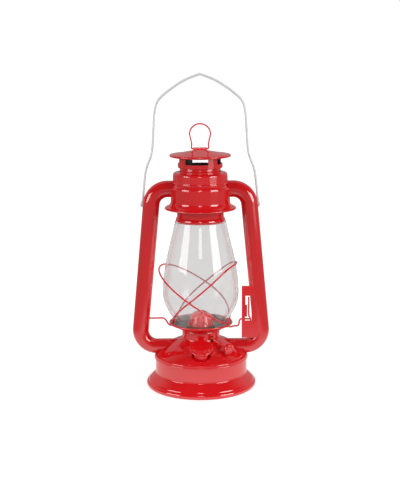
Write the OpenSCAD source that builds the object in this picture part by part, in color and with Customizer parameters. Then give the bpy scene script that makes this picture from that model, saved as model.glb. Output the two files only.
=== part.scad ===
// Hurricane lantern: a cold-blast oil lantern of pressed and painted sheet steel with a glass globe.
// Millimetres, +Z up. The origin is on the table under the lantern's axis,
// X runs across the two air tubes, and the front with the filler cap faces -Y.

/* [Sheet and clearances] */
// Thickness of the sheet steel
sheet_t = 0.8; // [0.5:0.05:1]
// Gap between pieces that are soldered or pressed together
fit = 0.05; // [0.02:0.01:0.1]
// Gap between pieces that rest on or move past each other
run_gap = 0.3; // [0.2:0.05:0.4]
// Radial clearance of a wire or shaft in its bearing
bearing_gap = 0.06; // [0.03:0.01:0.1]

/* [Fount] */
// Outer radius of the foot's rolled rim
foot_r = 65; // [61:0.5:72]
// Height of the flared foot
foot_h = 19.7; // [16:0.1:24]
// How far the foot's flare bulges from a straight cone
foot_bulge = 2.2; // [0.8:0.1:2.6]
// Radius of the foot's rolled rim in section
rim_bead_r = 2; // [1.2:0.1:2]
// Outer radius of the fount's side wall
tank_r = 53.7; // [50:0.1:57]
// Height of the fount's side wall
tank_wall_h = 15.5; // [12:0.5:22]
// Radius of the seam bead between wall and dome
seam_bead_r = 1.1; // [0.9:0.1:1.5]
// Rise of the dome from the seam to the burner collar
dome_h = 22.3; // [20:0.1:25]
// How far the dome bulges from a straight cone
dome_bulge = 2.4; // [1.5:0.1:3.2]
// Distance of the air pan's side inside the tank's side
pan_in = 23.7; // [22.7:0.1:26.2]

/* [Burner] */
// Outer radius of the burner collar
collar_r = 22.3; // [20.5:0.1:24]
// Height of the burner collar over the dome's edge
collar_h = 9; // [8:0.1:11]
// Radius of the collar's rolled rim in section
collar_bead_r = 0.9; // [0.6:0.1:1.1]
// Radius of the burner's neck inside the globe plate
burner_neck_r = 16.2; // [15:0.1:17.5]
// Height of the burner's neck over the collar
burner_neck_h = 5.1; // [4:0.1:7]
// Radius of the burner cone
cone_r = 14.5; // [12.5:0.1:15.5]
// Height of the burner cone's leaning wall
cone_wall_h = 11; // [8:0.5:13]
// Radius of the burner cone under its rounded top
cone_shoulder_r = 11.6; // [10.5:0.1:12.3]
// Height of the burner cone's rounded top
cone_dome_h = 6; // [5:0.5:8]
// Width of the wick
wick_w = 12.8; // [10:0.1:15]
// Thickness of the wick
wick_t = 2.2; // [1.5:0.1:3]
// How far the wick stands out of its tube
wick_lit_h = 2; // [0.5:0.1:4]
// How far the wick can be wound up and down
wick_feed = 10; // [6:0.5:12]

/* [Wick knob] */
// Direction of the wick shaft, to the right of the front
shaft_angle = 47; // [40:1:55]
// Downward slope of the wick shaft
shaft_slope = 17; // [15:0.5:18]
// Radius of the wick shaft
shaft_r = 1; // [0.8:0.05:1.2]
// How much shorter the wick shaft is, out to the knob, than the tank's radius
shaft_short = 6.2; // [0:0.1:8]
// Radius of the knob
knob_r = 6.8; // [5.5:0.1:7.2]
// Thickness of the knob
knob_t = 3.6; // [2.5:0.1:5]
// Notches round the knob's edge
knob_notches = 24; // [12:1:30]
// Tip radius of the toothed wick wheels
wheel_r = 3.4; // [2.8:0.1:3.8]
// Teeth of each wick wheel
wheel_teeth = 9; // [7:1:12]

/* [Filler] */
// Distance of the filler neck's axis inside the tank's side
filler_in = 12.7; // [10.7:0.1:14.2]
// Forward tilt of the filler neck
filler_tilt = 21; // [16:1:26]
// Outer radius of the filler neck
neck_r = 7.6; // [6:0.1:8.2]
// Height of the filler cap's top over the dome
filler_top = 10; // [9.6:0.1:14]
// Radius of the filler cap's flat top
filler_cap_r = 12; // [11.5:0.1:15]
// Thickness of the filler cap's flat top
filler_cap_t = 2.6; // [2:0.1:3.2]
// Length of the filler cap's threaded skirt
filler_skirt_h = 3.4; // [2:0.1:3.8]
// Thickness of the filler seal
seal_t = 1.2; // [0.8:0.1:1.6]

/* [Globe] */
// Height of the glass globe
globe_h = 123.7; // [116:0.1:132]
// Outer radius of the globe's foot
globe_foot_r = 30; // [27.5:0.1:32]
// Outer radius of the globe's belly
globe_belly_r = 44.2; // [41:0.1:46.5]
// Outer radius of the globe's mouth
globe_mouth_r = 29.6; // [28:0.1:30.2]
// Height of the belly over the globe's foot
globe_belly_h = 38.9; // [34:0.1:46]
// Height of the straight neck at the globe's foot
globe_neck_h = 4.4; // [3:0.1:7]
// Thickness of the glass
globe_t = 2.2; // [1.6:0.1:2.6]

/* [Globe plate and guard wires] */
// Outer radius of the globe plate
plate_r = 37.3; // [35:0.1:40]
// Radius of the globe plate's flat middle
plate_hub_r = 24; // [23:0.1:26]
// Rise of the globe plate from its middle to its rim
plate_rise = 7.6; // [6:0.1:10]
// Radius of the globe plate's rolled rim in section
plate_bead_r = 1.1; // [0.8:0.1:1.4]
// Radius of the guard wire
guard_wire_r = 0.95; // [0.7:0.05:1.1]
// Height from the left wire's low end to its high end
left_rise = 77; // [66:1:80]
// Height from the right wire's low end to its high end
right_rise = 65; // [56:1:70]
// Gap between the inner guard hoop and the glass
guard_gap = 0.9; // [0.6:0.1:2]
// How far the right wire's high end stands off the glass
guard_stand = 4.5; // [2:0.5:5]
// How far the left wire's hoop is turned from the line of the tubes
left_turn = 8; // [5:0.5:11]
// How far the right wire's hoop is turned from the line of the tubes
right_turn = 15; // [12:0.5:18]
// Height of the guard wires' outer ends over the globe plate
lever_rise = 12.4; // [10:0.1:15]
// How far the globe can be lifted
globe_lift = 20; // [16:0.5:22]

/* [Lift bracket] */
// Distance of the bracket plate in front of the tube's axis
bracket_y = 8.3; // [8:0.1:9]
// Thickness of the bracket plate
bracket_t = 1; // [0.8:0.1:1.4]
// Distance of the bracket's free edge from the lever wire
bracket_w = 10.9; // [9.5:0.1:13]
// Height of the bracket over the resting lever wire
bracket_top = 40.3; // [38:0.5:48]
// Depth of the bracket under the resting lever wire
bracket_low = 22; // [12:0.5:24]
// Length of the finger pull in front of the bracket
pull_h = 27.5; // [22:0.5:32]

/* [Air tubes] */
// Outer radius of an air tube
tube_r = 10.1; // [9:0.1:11]
// Half distance between the tubes at their upper corners
tube_top_x = 55; // [53:0.5:60]
// Half distance between the tubes at their lower corners
tube_low_x = 72.7; // [70:0.1:78]
// Radius of the tubes' upper bend
tube_top_bend = 19; // [15:0.5:20]
// Radius of the tubes' lower bend
tube_low_bend = 18.6; // [16:0.1:19.5]
// Height of the tubes' upper run over the hood's lip
tube_rise = 23; // [21:0.5:27]

/* [Hood] */
// Height of the hood's lip over the globe's mouth
hood_lift = 14.6; // [12:0.2:17]
// Outer radius of the hood's lip
hood_lip_r = 41; // [38:0.5:43]
// Height of the hood's flare
hood_flare_h = 8; // [6:0.5:10]
// How far the flare draws in from a straight cone
hood_flare_bulge = 1.5; // [0.8:0.1:2]
// Outer radius of the hood's lower shell
hood_r = 34.4; // [33.5:0.1:36]
// Height of the hood's lower shell
hood_low_h = 22; // [20:0.5:26]
// Outer radius of the hood's upper shell
hood_top_r = 31.8; // [31.4:0.1:32.6]
// Height of the hood's upper shell
hood_top_h = 21; // [18:0.5:26]
// Radius of the hood's top edge
hood_edge_r = 4; // [2:0.5:5]

/* [Chimney] */
// Outer radius of the chimney tube
chimney_r = 23.1; // [22.5:0.1:24.6]
// Outer radius of the crown's sleeve
crown_r = 27; // [26:0.1:27.1]
// Height of the crown's sleeve over its bead
crown_h = 12.6; // [10:0.1:13]
// Depth of the crown's sleeve in the globe's mouth
crown_skirt = 1.5; // [1:0.5:6]
// Radius of the crown's bead in section
crown_bead_r = 1.3; // [1:0.1:1.6]
// Height of the vent band's foot over the hood
vent_lift = 4.5; // [3:0.5:7]
// Outer radius of the vent band
vent_r = 25.7; // [25.3:0.1:28]
// Vent slots round the band
vent_count = 4; // [3:1:6]
// Post between two vent slots, as an angle
vent_post = 28; // [16:1:36]
// Height of the vent slots' lower edge over the band's foot
vent_slot_up = 5.4; // [2:0.1:6]
// Height of the vent slots
vent_slot_h = 6; // [4:0.5:7]
// Outer radius of the cap's rolled rim
cap_r = 35.3; // [31:0.1:40]
// Height of the cap's rim over the vent band's foot
cap_lift = 14.4; // [13:0.1:16]
// Rise of the cap from its rim to its flat top
cap_rise = 5.4; // [3:0.1:8]
// Radius of the cap's flat top
cap_flat_r = 9; // [8.9:0.1:12]
// Radius of the cap's rolled rim in section
cap_bead_r = 1.4; // [1:0.1:1.8]
// Radius of the chimney spring's wire
spring_wire_r = 0.6; // [0.4:0.05:0.8]
// Turns of the chimney spring
spring_turns = 4; // [3:1:5]

/* [Lift ring] */
// Radius of the ring's wire
ring_wire_r = 0.85; // [0.8:0.05:1.2]
// Height of the ring over its hinge line
ring_h = 29.4; // [25:0.2:34]
// Half width of the ring at its widest
ring_w = 12; // [11:0.1:15]
// Half length of the rolled strap that holds the ring
strap_w = 8; // [6.5:0.1:8.4]
// Half depth of the strap's plate
strap_d = 4; // [3:0.1:5]

/* [Bail] */
// Radius of the bail's wire
bail_wire_r = 1.1; // [0.9:0.05:1.3]
// Height of the bail over its pivots
bail_h = 150.7; // [142:0.1:165]
// Half width of the bail at its grip
bail_grip_w = 52; // [48:0.5:56]
// Drop of the bail's pivots under the tubes' upper bends
bail_drop = 3; // [2.8:0.1:6]
// Outer radius of the bail's eyelets
eyelet_r = 2.4; // [2.1:0.1:2.6]
// How far an eyelet stands out of its tube
eyelet_out = 0.6; // [0.4:0.1:1]

/* [Hidden] */
$fn = 96;
paint = "#c81e24";
dark_steel = "#8a8782";
zinc = "#b9bcbd";
brass = "#b89a52";
cotton = "#e6ddc8";
clear_glass = [0.86, 0.9, 0.92, 0.45];
rubber = "#2a2a2a";

// Circular arcs in section: from a to b, bulging to the right of that direction
function arc_r(a, b, bulge) = (pow(norm(b - a), 2) / 4 + bulge * bulge) / (2 * bulge);
function arc_side(a, b) = [b.y - a.y, a.x - b.x] / norm(b - a);
function arc_centre(a, b, bulge) = (a + b) / 2 - arc_side(a, b) * (arc_r(a, b, bulge) - bulge);

// Foot and tank
rim_lift = 0.3;
rim_flat_w = 1.2 * rim_bead_r;
foot_rim = [foot_r - rim_bead_r, rim_bead_r + rim_lift];
foot_top = [tank_r - sheet_t / 2, foot_h - fit - sheet_t / 2];
spigot_r = tank_r - sheet_t - fit;
spigot_h = 5;
seam = [tank_r - sheet_t / 2, foot_h + tank_wall_h + fit + seam_bead_r];
dome_edge = [collar_r, seam.y + dome_h];
dome_c = arc_centre(seam, dome_edge, dome_bulge);
dome_mid_r = arc_r(seam, dome_edge, dome_bulge);
function dome_z(r, offset) = dome_c.y + sqrt(pow(dome_mid_r + offset, 2) - pow(r - dome_c.x, 2));

// Lower run of the air tubes, just over the seam bead
seam_clear = 0.15;
tube_low_z = seam.y + seam_bead_r + seam_clear + tube_r;
pan_drop = 1.6;
pan_r = tank_r - pan_in;
pan_z = tube_low_z - tube_r - pan_drop - sheet_t;

// Burner
collar_seat = 1.4;
collar_z = dome_edge.y - collar_seat;
collar_top = dome_edge.y + collar_h;
collar_bead_x = collar_r - collar_bead_r + 0.4;
collar_ledge_w = 4.5;
cup_r = collar_bead_x - collar_bead_r - fit;
cup_z = collar_z + sheet_t + fit;
cup_shoulder_z = collar_top - fit;
cup_top = collar_top + burner_neck_h;
cone_z = cup_top + fit;
cone_top = cone_z + cone_wall_h + cone_dome_h;
cone_t = 0.6;
cone_slot_w = wick_t + 3;
cone_slot_l = wick_w + 3.4;
cup_holes = 10;
cup_hole_r = 1.3;
cup_hole_in = 3.2;
wick_gap = 0.3;
wick_wall = 0.6;
wick_tube_w = wick_w + 2 * (wick_gap + wick_wall);
wick_tube_t = wick_t + 2 * (wick_gap + wick_wall);
wick_tube_top = cone_top - 5;
wick_tube_low = pan_z - 3;
wick_top = wick_tube_top + wick_lit_h;
wick_low = foot_h + sheet_t + run_gap + wick_feed;
shaft_off = wick_t / 2 + run_gap + wheel_r;
shaft_z = collar_top - 0.3;
shaft_in = 6;
shaft_reach = tank_r - shaft_short;
wheel_t = 1.2;
wheel_at = 2.8;
wheel_root_r = 0.72 * wheel_r;
wheel_window_h = 2 * wheel_r + 4.4;
bush_r = 2.2;
bush_l = 4;
bush_at = (cup_r - bush_l / 2) / cos(shaft_slope) - 0.6;
slot_w = 2 * shaft_r + 1.6;
slot_h = 4.6;
knob_hub_r = 2.6;
knob_hub_l = 2;
notch_r = 0.45;

// Filler
filler_r = tank_r - filler_in;
filler_z = dome_z(filler_r, sheet_t / 2);
neck_low = 6;
neck_top = filler_top - filler_cap_t - seal_t - fit;
filler_skirt_r = neck_r + 2;
thread_gap = run_gap;
seal_r = neck_r + thread_gap + 0.2;
cap_edge = 0.8;

// Globe plate and globe
plate_z = collar_top + run_gap;
plate_hole_r = burner_neck_r + 1;
plate_rim = [plate_r - plate_bead_r, plate_z + plate_rise];
plate_slope = (plate_rise - sheet_t) / (plate_rim.x - plate_hub_r);
function plate_top(r) = plate_z + sheet_t + (r - plate_hub_r) * plate_slope;
globe_z = plate_top(globe_foot_r) + fit + 0.1;
globe_top = globe_z + globe_h;
globe_steps = 10;
taper_power = 1.2;
function bowl_r(u) = globe_foot_r + (globe_belly_r - globe_foot_r) * sin(90 * u);
function taper_r(u) = globe_mouth_r + (globe_belly_r - globe_mouth_r) * pow(max(0, cos(90 * u)), taper_power);
globe_outline = concat(
    [[globe_foot_r, 0]],
    [for (i = [0:globe_steps]) [bowl_r(i / globe_steps),
        globe_neck_h + (globe_belly_h - globe_neck_h) * i / globe_steps]],
    [for (i = [1:globe_steps]) [taper_r(i / globe_steps),
        globe_belly_h + (globe_h - globe_belly_h) * i / globe_steps]]);

// Hood
hood_z = globe_top + hood_lift;
hood_step_z = hood_z + hood_low_h;
hood_top_z = hood_step_z + hood_top_h;
hood_lip = [hood_lip_r - sheet_t / 2, hood_z + sheet_t / 2];
hood_flare_top = [hood_r - sheet_t / 2, hood_z + hood_flare_h];
hood_shoulder_r = 1.6;
hood_bead_r = 0.7;
hood_bead_up = 3;
hood_overlap = 4;
hood_neck_h = 1.5;
chimney_hole_r = chimney_r + run_gap;

// Chimney
crown_z = globe_top + run_gap + crown_bead_r;
crown_bead_x = globe_mouth_r - globe_t / 2;
crown_top = crown_z + crown_h;
chimney_low = crown_top - 2.5;
vent_z = hood_top_z + vent_lift;
vent_slot_z = vent_z + vent_slot_up;
chimney_top = vent_z + 1.6;
cap_rim = [cap_r - cap_bead_r, vent_z + cap_lift];
cap_top = cap_rim.y + cap_rise;
cap_slope = cap_rise / (cap_rim.x - cap_flat_r);
function cap_under(r) = cap_top - sheet_t - max(0, r - cap_flat_r) * cap_slope;
spring_r = (chimney_r + crown_r) / 2;
spring_sides = 16;
spring_low = crown_top + run_gap + spring_wire_r;
spring_high = hood_top_z - sheet_t - run_gap - spring_wire_r;

// Lift ring and its strap
knuckle_r = ring_wire_r + bearing_gap + 0.65;
ring_z = cap_top + fit + knuckle_r + 0.1;
ring_bend = 1.6;
ring_foot_w = strap_w + run_gap + ring_bend;

// Air tubes: corners of the right tube's centre line in the XZ plane
tube_top_z = hood_z + tube_rise;
tube_splay = atan2(tube_low_x - tube_top_x, tube_top_z - tube_low_z);
top_tangent = tube_top_bend * tan((90 - tube_splay) / 2);
low_tangent = tube_low_bend * tan((90 + tube_splay) / 2);
leg_l = norm([tube_low_x - tube_top_x, tube_top_z - tube_low_z]) - top_tangent - low_tangent;
tube_in_x = 18;
bend_swell = 0.1;
bend_lap = 1.5;
function leg_x(z) = tube_top_x + (tube_top_z - z) * tan(tube_splay);

// Bail and its pivots
pivot_z = tube_top_z - top_tangent * cos(tube_splay) - bail_drop;
eyelet_face = leg_x(pivot_z) + tube_r + eyelet_out;
eyelet_in = 2.6;
bail_bend = 1.7;
bail_foot_w = eyelet_face + run_gap + bail_bend;
bail_pin_in = 5.5;
bail_flare_w = bail_foot_w - bail_grip_w;

// Guard wires and lift bracket
guard_low_r = (globe_foot_r + plate_rim.x - plate_bead_r) / 2;
guard_low_z = globe_z + 4;
guard_under_z = plate_rim.y - 3.4;
lever_z = plate_z + lever_rise;
lever_x = leg_x(lever_z + globe_lift) - tube_r + 0.3;
lever_back_y = bracket_y - bracket_t / 2 - guard_wire_r - 0.9;
pull_y = bracket_y + bracket_t / 2 + guard_wire_r + 1.6;
slot_clear = 0.35;
slot_open = 4;
hook_w = 6.4;
hook_h = 4.6;
window_w = 5.9;
window_h = 10.8;
window_drop = 2.4;
hoop_steps = 48;
guide_slot_clear = 0.45;

// Curved strip of sheet in section, cut to the box between two corners
module arc_strip(a, b, bulge, low, high) {
    r = arc_r(a, b, bulge);
    intersection() {
        translate(arc_centre(a, b, bulge)) difference() {
            circle(r + sheet_t / 2, $fn = 360);
            circle(r - sheet_t / 2, $fn = 360);
        }
        translate(low) square(high - low);
    }
}

// Quarter round of sheet in section, about its centre, over the upper right quadrant
module quarter_round(r) {
    intersection() {
        difference() {
            circle(r);
            circle(r - sheet_t);
        }
        square(r + 1);
    }
}

// Upright ring of sheet in section, from an outer radius
module upright(r, z0, z1) {
    translate([r - sheet_t, z0]) square([sheet_t, z1 - z0]);
}

// Level ring of sheet in section
module level(r0, r1, z) {
    translate([r0, z]) square([r1 - r0, sheet_t]);
}

// Round wire swept along points, with the section carried from one point to the next
function unit(v) = v / norm(v);
function heading(p, i) = unit(p[min(i + 1, len(p) - 1)] - p[max(i - 1, 0)]);
function square_to(t) = unit(cross(t, abs(t.y) < 0.9 ? [0, 1, 0] : [1, 0, 0]));
function carry(p, i, u) = i == len(p) ? [] :
    let (t = heading(p, i), v = unit(u - (u * t) * t)) concat([v], carry(p, i + 1, v));
module wire(p, r, sides = 8) {
    last = len(p) - 1;
    side = carry(p, 0, square_to(heading(p, 0)));
    points = [for (i = [0:last]) let (u = side[i], w = cross(heading(p, i), u))
        for (k = [0:sides - 1]) p[i] + r * (cos(360 * k / sides) * u + sin(360 * k / sides) * w)];
    walls = [for (i = [0:last - 1], k = [0:sides - 1])
        let (a = i * sides + k, b = i * sides + (k + 1) % sides)
        each [[a, b + sides, b], [a, a + sides, b + sides]]];
    ends = [for (k = [1:sides - 2]) each [[0, k, k + 1],
        [last * sides, last * sides + k + 1, last * sides + k]]];
    polyhedron(points, concat(walls, ends));
}

// Smooth curve through points
function spline(a, b, c, d, u) = 0.5 * (2 * b + (c - a) * u + (2 * a - 5 * b + 4 * c - d) * u * u
    + (3 * b - a - 3 * c + d) * u * u * u);
function smooth(p, steps) = concat([for (i = [0:len(p) - 2], s = [0:steps - 1])
    spline(p[max(i - 1, 0)], p[i], p[i + 1], p[min(i + 2, len(p) - 1)], s / steps)], [p[len(p) - 1]]);

// Places: the wick's own axes, the sloping shaft and the tilted filler neck
module at_wick() {
    rotate([0, 0, shaft_angle - 90]) children();
}
module at_shaft() {
    at_wick() translate([0, -shaft_off, shaft_z]) rotate([0, 90 + shaft_slope, 0]) children();
}
module at_filler() {
    translate([0, -filler_r, filler_z]) rotate([filler_tilt, 0, 0]) children();
}

// Right air tube in five stretches that take a section: upper run, upper bend, leg, lower bend, lower run
module tube_wall(extra = 0) {
    difference() {
        circle(tube_r + extra);
        circle(tube_r - sheet_t - extra);
    }
}
module bend(x, z, r, from, to) {
    translate([x, 0, z]) rotate([90, 0, 0]) rotate([0, 0, from - bend_lap])
        rotate_extrude(angle = to - from + 2 * bend_lap) translate([r, 0]) children();
}
module along_x(x0, x1, z) {
    translate([x0, 0, z]) rotate([0, 90, 0]) linear_extrude(x1 - x0) children();
}
module top_bend() {
    bend(tube_top_x - top_tangent, tube_top_z - tube_top_bend, tube_top_bend, tube_splay, 90) children();
}
module leg() {
    translate([tube_top_x, 0, tube_top_z]) rotate([0, 180 - tube_splay, 0])
        translate([0, 0, top_tangent]) linear_extrude(leg_l) children();
}
module low_bend() {
    bend(tube_low_x - low_tangent, tube_low_z + tube_low_bend, tube_low_bend, -90, tube_splay) children();
}

// Hollow air tube, open into the hood and into the air pan, with a hole for its bail eyelet
module air_tube() {
    difference() {
        along_x(tube_in_x, tube_top_x - top_tangent, tube_top_z) tube_wall();
        translate([0, 0, hood_z]) cylinder(r = hood_top_r - sheet_t, h = hood_top_z - hood_z);
    }
    top_bend() tube_wall(bend_swell);
    difference() {
        leg() tube_wall();
        eyelet_hole(eyelet_r + fit);
        children();
    }
    low_bend() tube_wall(bend_swell);
    difference() {
        along_x(tube_in_x, tube_low_x - low_tangent, tube_low_z) tube_wall();
        rotate_extrude() intersection() {
            translate(dome_c) circle(dome_mid_r - sheet_t / 2 - fit, $fn = 360);
            translate([0, pan_z]) square([pan_r - sheet_t, dome_edge.y]);
        }
    }
}
module eyelet_hole(r) {
    along_x(eyelet_face - eyelet_out - eyelet_in - 1, eyelet_face + 1, pivot_z) circle(r);
}

// Openings for both tubes, in the tank and in the hood
module tube_holes(z, reach) {
    for (side = [0, 1]) mirror([side, 0, 0]) along_x(tube_in_x, reach, z)
        circle(tube_r + bend_swell + fit);
}

// Foot of the lantern: a flared skirt with a rolled rim and a spigot inside the fount's wall
module foot_ring() {
    color(paint) rotate_extrude() {
        arc_strip(foot_rim, foot_top, foot_bulge, [foot_top.x - 1, foot_rim.y], [foot_r, foot_top.y]);
        translate(foot_rim) circle(rim_bead_r);
        translate([foot_rim.x - rim_flat_w / 2, 0]) square([rim_flat_w, foot_rim.y]);
        level(spigot_r - sheet_t, tank_r, foot_h - fit - sheet_t);
        upright(spigot_r, foot_h - fit - sheet_t, foot_h + spigot_h);
    }
}

// Straight side of the fuel tank
module fount_wall() {
    color(paint) rotate_extrude() upright(tank_r, foot_h, foot_h + tank_wall_h);
}

// Bottom of the fuel tank, with a turned-up edge inside the foot's spigot
module fount_floor() {
    floor_r = spigot_r - sheet_t - fit;
    color(dark_steel) rotate_extrude() {
        level(0, floor_r, foot_h);
        upright(floor_r, foot_h, foot_h + spigot_h);
    }
}

// Drawn top of the fuel tank, with the seam bead and openings for collar, tubes and filler neck
module fount_dome() {
    color(paint) difference() {
        rotate_extrude() {
            arc_strip(seam, dome_edge, dome_bulge,
                [collar_r + fit, seam.y], [seam.x, dome_edge.y + dome_bulge]);
            translate(seam) circle(seam_bead_r);
        }
        tube_holes(tube_low_z, tank_r);
        at_filler() translate([0, 0, -neck_low]) cylinder(r = neck_r + fit, h = 2 * neck_low);
    }
}

// Air chamber under the burner that both tubes open into
module air_pan() {
    color(dark_steel) difference() {
        rotate_extrude() {
            upright(pan_r, pan_z, dome_z(pan_r, -sheet_t / 2) - fit);
            level(0, pan_r, pan_z);
        }
        tube_holes(tube_low_z, tank_r);
        at_wick() flat_bar(wick_tube_w + 2 * fit, wick_tube_t + 2 * fit, wick_tube_low, wick_tube_top);
    }
}

// Flat upright bar about the wick's axis
module flat_bar(w, t, z0, z1) {
    translate([-w / 2, -t / 2, z0]) cube([w, t, z1 - z0]);
}

// Collar on the dome that holds the burner, slotted for the wick shaft
module burner_collar() {
    color(paint) difference() {
        rotate_extrude() {
            upright(collar_r, collar_z, collar_top - collar_bead_r);
            translate([collar_bead_x, collar_top - collar_bead_r]) circle(collar_bead_r);
            level(collar_r - sheet_t - collar_ledge_w, collar_r - sheet_t / 2, collar_z);
        }
        at_wick() translate([cup_r - 2, -shaft_off - slot_w / 2, shaft_at(collar_r) - slot_h / 2])
            cube([6, slot_w, slot_h]);
    }
}
// Height of the shaft's centre line at a distance from the lantern's axis
function shaft_at(r) = shaft_z - sqrt(r * r - shaft_off * shaft_off) * tan(shaft_slope);

// Threaded neck of the fuel tank
module filler_neck() {
    color(paint) at_filler() difference() {
        translate([0, 0, -neck_low]) cylinder(r = neck_r, h = neck_low + neck_top);
        translate([0, 0, -neck_low - 1]) cylinder(r = neck_r - sheet_t, h = neck_low + neck_top + 2);
    }
}

// Rubber washer inside the filler cap
module filler_seal() {
    color(rubber) at_filler() difference() {
        translate([0, 0, neck_top + fit]) cylinder(r = seal_r, h = seal_t - fit);
        translate([0, 0, neck_top - 1]) cylinder(r = neck_r - 3, h = seal_t + 2);
    }
}

// Screw cap: a wide flat top with a bevelled edge over a threaded skirt
module filler_cap() {
    under = filler_top - filler_cap_t;
    seat = under + fit;
    color(paint) at_filler() rotate_extrude() polygon([
        [0, seat], [seal_r + fit, seat], [seal_r + fit, under - filler_skirt_h],
        [filler_skirt_r, under - filler_skirt_h], [filler_skirt_r, under],
        [filler_cap_r - cap_edge, under], [filler_cap_r, under + cap_edge],
        [filler_cap_r, filler_top - cap_edge], [filler_cap_r - cap_edge, filler_top], [0, filler_top]]);
}

// Air tubes: the left one has a slot that guides the left guard wire's end
module left_tube() {
    slot_z = lever_z - guard_wire_r - guide_slot_clear;
    slot_half = guard_wire_r + guide_slot_clear;
    color(paint) mirror([1, 0, 0]) air_tube()
        translate([leg_x(lever_z) - tube_r - 4, -slot_half, slot_z])
            cube([tube_r, 2 * slot_half, globe_lift + 2 * slot_half]);
}
module right_tube() {
    color(paint) air_tube();
}

// Bushings in the tubes that the bail's ends turn in
module bail_eyelets() {
    color(paint) for (side = [0, 1]) mirror([side, 0, 0]) difference() {
        translate([eyelet_face - eyelet_out - eyelet_in, 0, pivot_z]) rotate([0, 90, 0])
            cylinder(r = eyelet_r, h = eyelet_in + eyelet_out);
        eyelet_hole(bail_wire_r + bearing_gap);
    }
}

// Slotted plate on the right tube that the lever wire is hooked into when the globe is up or down
module lift_bracket() {
    low_z = lever_z - bracket_low;
    high_z = lever_z + bracket_top;
    slot_x = guard_wire_r + slot_clear;
    color(paint) difference() {
        translate([0, bracket_t / 2 - bracket_y, 0]) rotate([90, 0, 0]) linear_extrude(bracket_t)
            difference() {
                polygon([[lever_x - bracket_w, low_z], [leg_x(low_z), low_z],
                    [leg_x(high_z), high_z], [lever_x - bracket_w, high_z]]);
                translate([lever_x - slot_open, lever_z - slot_x])
                    square([slot_open + slot_x, globe_lift + 2 * slot_x]);
                translate([lever_x - hook_w, lever_z - slot_x]) square([hook_w, hook_h]);
                translate([lever_x - window_w, lever_z + globe_lift - window_drop])
                    square([window_w + slot_x, window_h]);
            }
        leg() circle(tube_r + fit);
        low_bend() circle(tube_r + bend_swell + fit);
    }
}

// Hood: the lower shell has the flared lip that air goes in under
module hood_lower() {
    edge_x = hood_r - hood_shoulder_r;
    edge_z = hood_step_z - hood_shoulder_r;
    color(paint) difference() {
        rotate_extrude() {
            arc_strip(hood_flare_top, hood_lip, hood_flare_bulge,
                [hood_flare_top.x - hood_flare_bulge, hood_lip.y], [hood_lip_r + 1, hood_flare_top.y]);
            translate(hood_lip) circle(sheet_t);
            upright(hood_r, hood_flare_top.y, edge_z);
            translate([edge_x, edge_z]) quarter_round(hood_shoulder_r);
            level(hood_top_r + fit, edge_x, hood_step_z - sheet_t);
        }
        tube_holes(tube_top_z, hood_lip_r);
    }
}

// Hood: the upper shell closes the air chamber round the chimney
module hood_upper() {
    edge_x = hood_top_r - hood_edge_r;
    edge_z = hood_top_z - hood_edge_r;
    color(paint) difference() {
        rotate_extrude() {
            upright(hood_top_r, hood_step_z - hood_overlap, edge_z);
            translate([edge_x, edge_z]) quarter_round(hood_edge_r);
            level(chimney_hole_r, edge_x, hood_top_z - sheet_t);
            upright(chimney_hole_r + sheet_t, hood_top_z - sheet_t, hood_top_z + hood_neck_h);
            translate([hood_top_r, hood_step_z + hood_bead_up]) circle(hood_bead_r);
        }
        tube_holes(tube_top_z, hood_lip_r);
    }
}

// Base of the burner: a stepped cup in the collar, perforated on top
module burner_cup() {
    color(brass) difference() {
        rotate_extrude() {
            upright(cup_r, cup_z, cup_shoulder_z);
            level(burner_neck_r - sheet_t, cup_r, cup_shoulder_z - sheet_t);
            upright(burner_neck_r, cup_shoulder_z - sheet_t, cup_top);
            level(0, burner_neck_r, cup_top - sheet_t);
        }
        at_wick() flat_bar(wick_tube_w + 2 * fit, wick_tube_t + 2 * fit, cup_z, cone_top);
        at_shaft() translate([0, 0, bush_at - bush_l]) cylinder(r = bush_r + fit, h = 3 * bush_l);
        at_wick() for (i = [0:cup_holes - 1]) rotate([0, 0, 360 * (i + 0.5) / cup_holes])
            translate([cone_r - cup_hole_in, 0, cup_top - 2 * sheet_t])
                cylinder(r = cup_hole_r, h = 4 * sheet_t);
    }
}

// Flat tube that holds the wick, with a window for the wheels
module wick_tube() {
    color(brass) at_wick() difference() {
        flat_bar(wick_tube_w, wick_tube_t, wick_tube_low, wick_tube_top);
        flat_bar(wick_w + 2 * wick_gap, wick_t + 2 * wick_gap, wick_tube_low - 1, wick_tube_top + 1);
        translate([-wheel_at - 2.4, -wick_tube_t, shaft_z - wheel_window_h / 2])
            cube([2 * wheel_at + 4.8, wick_tube_t - wick_t / 2 - wick_gap / 2, wheel_window_h]);
    }
}

// Bearing of the wick shaft in the burner cup
module shaft_bush() {
    color(brass) at_shaft() difference() {
        translate([0, 0, bush_at - bush_l / 2]) cylinder(r = bush_r, h = bush_l);
        translate([0, 0, bush_at - bush_l]) cylinder(r = shaft_r + bearing_gap, h = 2 * bush_l);
    }
}

// Domed cap over the burner with a slot for the flame
module burner_cone() {
    ball_r = (cone_shoulder_r * cone_shoulder_r + cone_dome_h * cone_dome_h) / (2 * cone_dome_h);
    wall_top = cone_z + cone_wall_h;
    color(paint) difference() {
        rotate_extrude() {
            intersection() {
                translate([0, cone_top - ball_r]) difference() {
                    circle(ball_r);
                    circle(ball_r - cone_t);
                }
                translate([0, wall_top]) square([cone_r + 1, cone_dome_h + 1]);
            }
            polygon([[cone_r - cone_t, cone_z], [cone_r, cone_z], [cone_shoulder_r, wall_top],
                [cone_shoulder_r - cone_t, wall_top]]);
        }
        at_wick() flat_bar(cone_slot_l, cone_slot_w, wall_top, cone_top + 1);
    }
}

// Flat woven wick
module wick() {
    color(cotton) at_wick() flat_bar(wick_w, wick_t, wick_low, wick_top);
}

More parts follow.
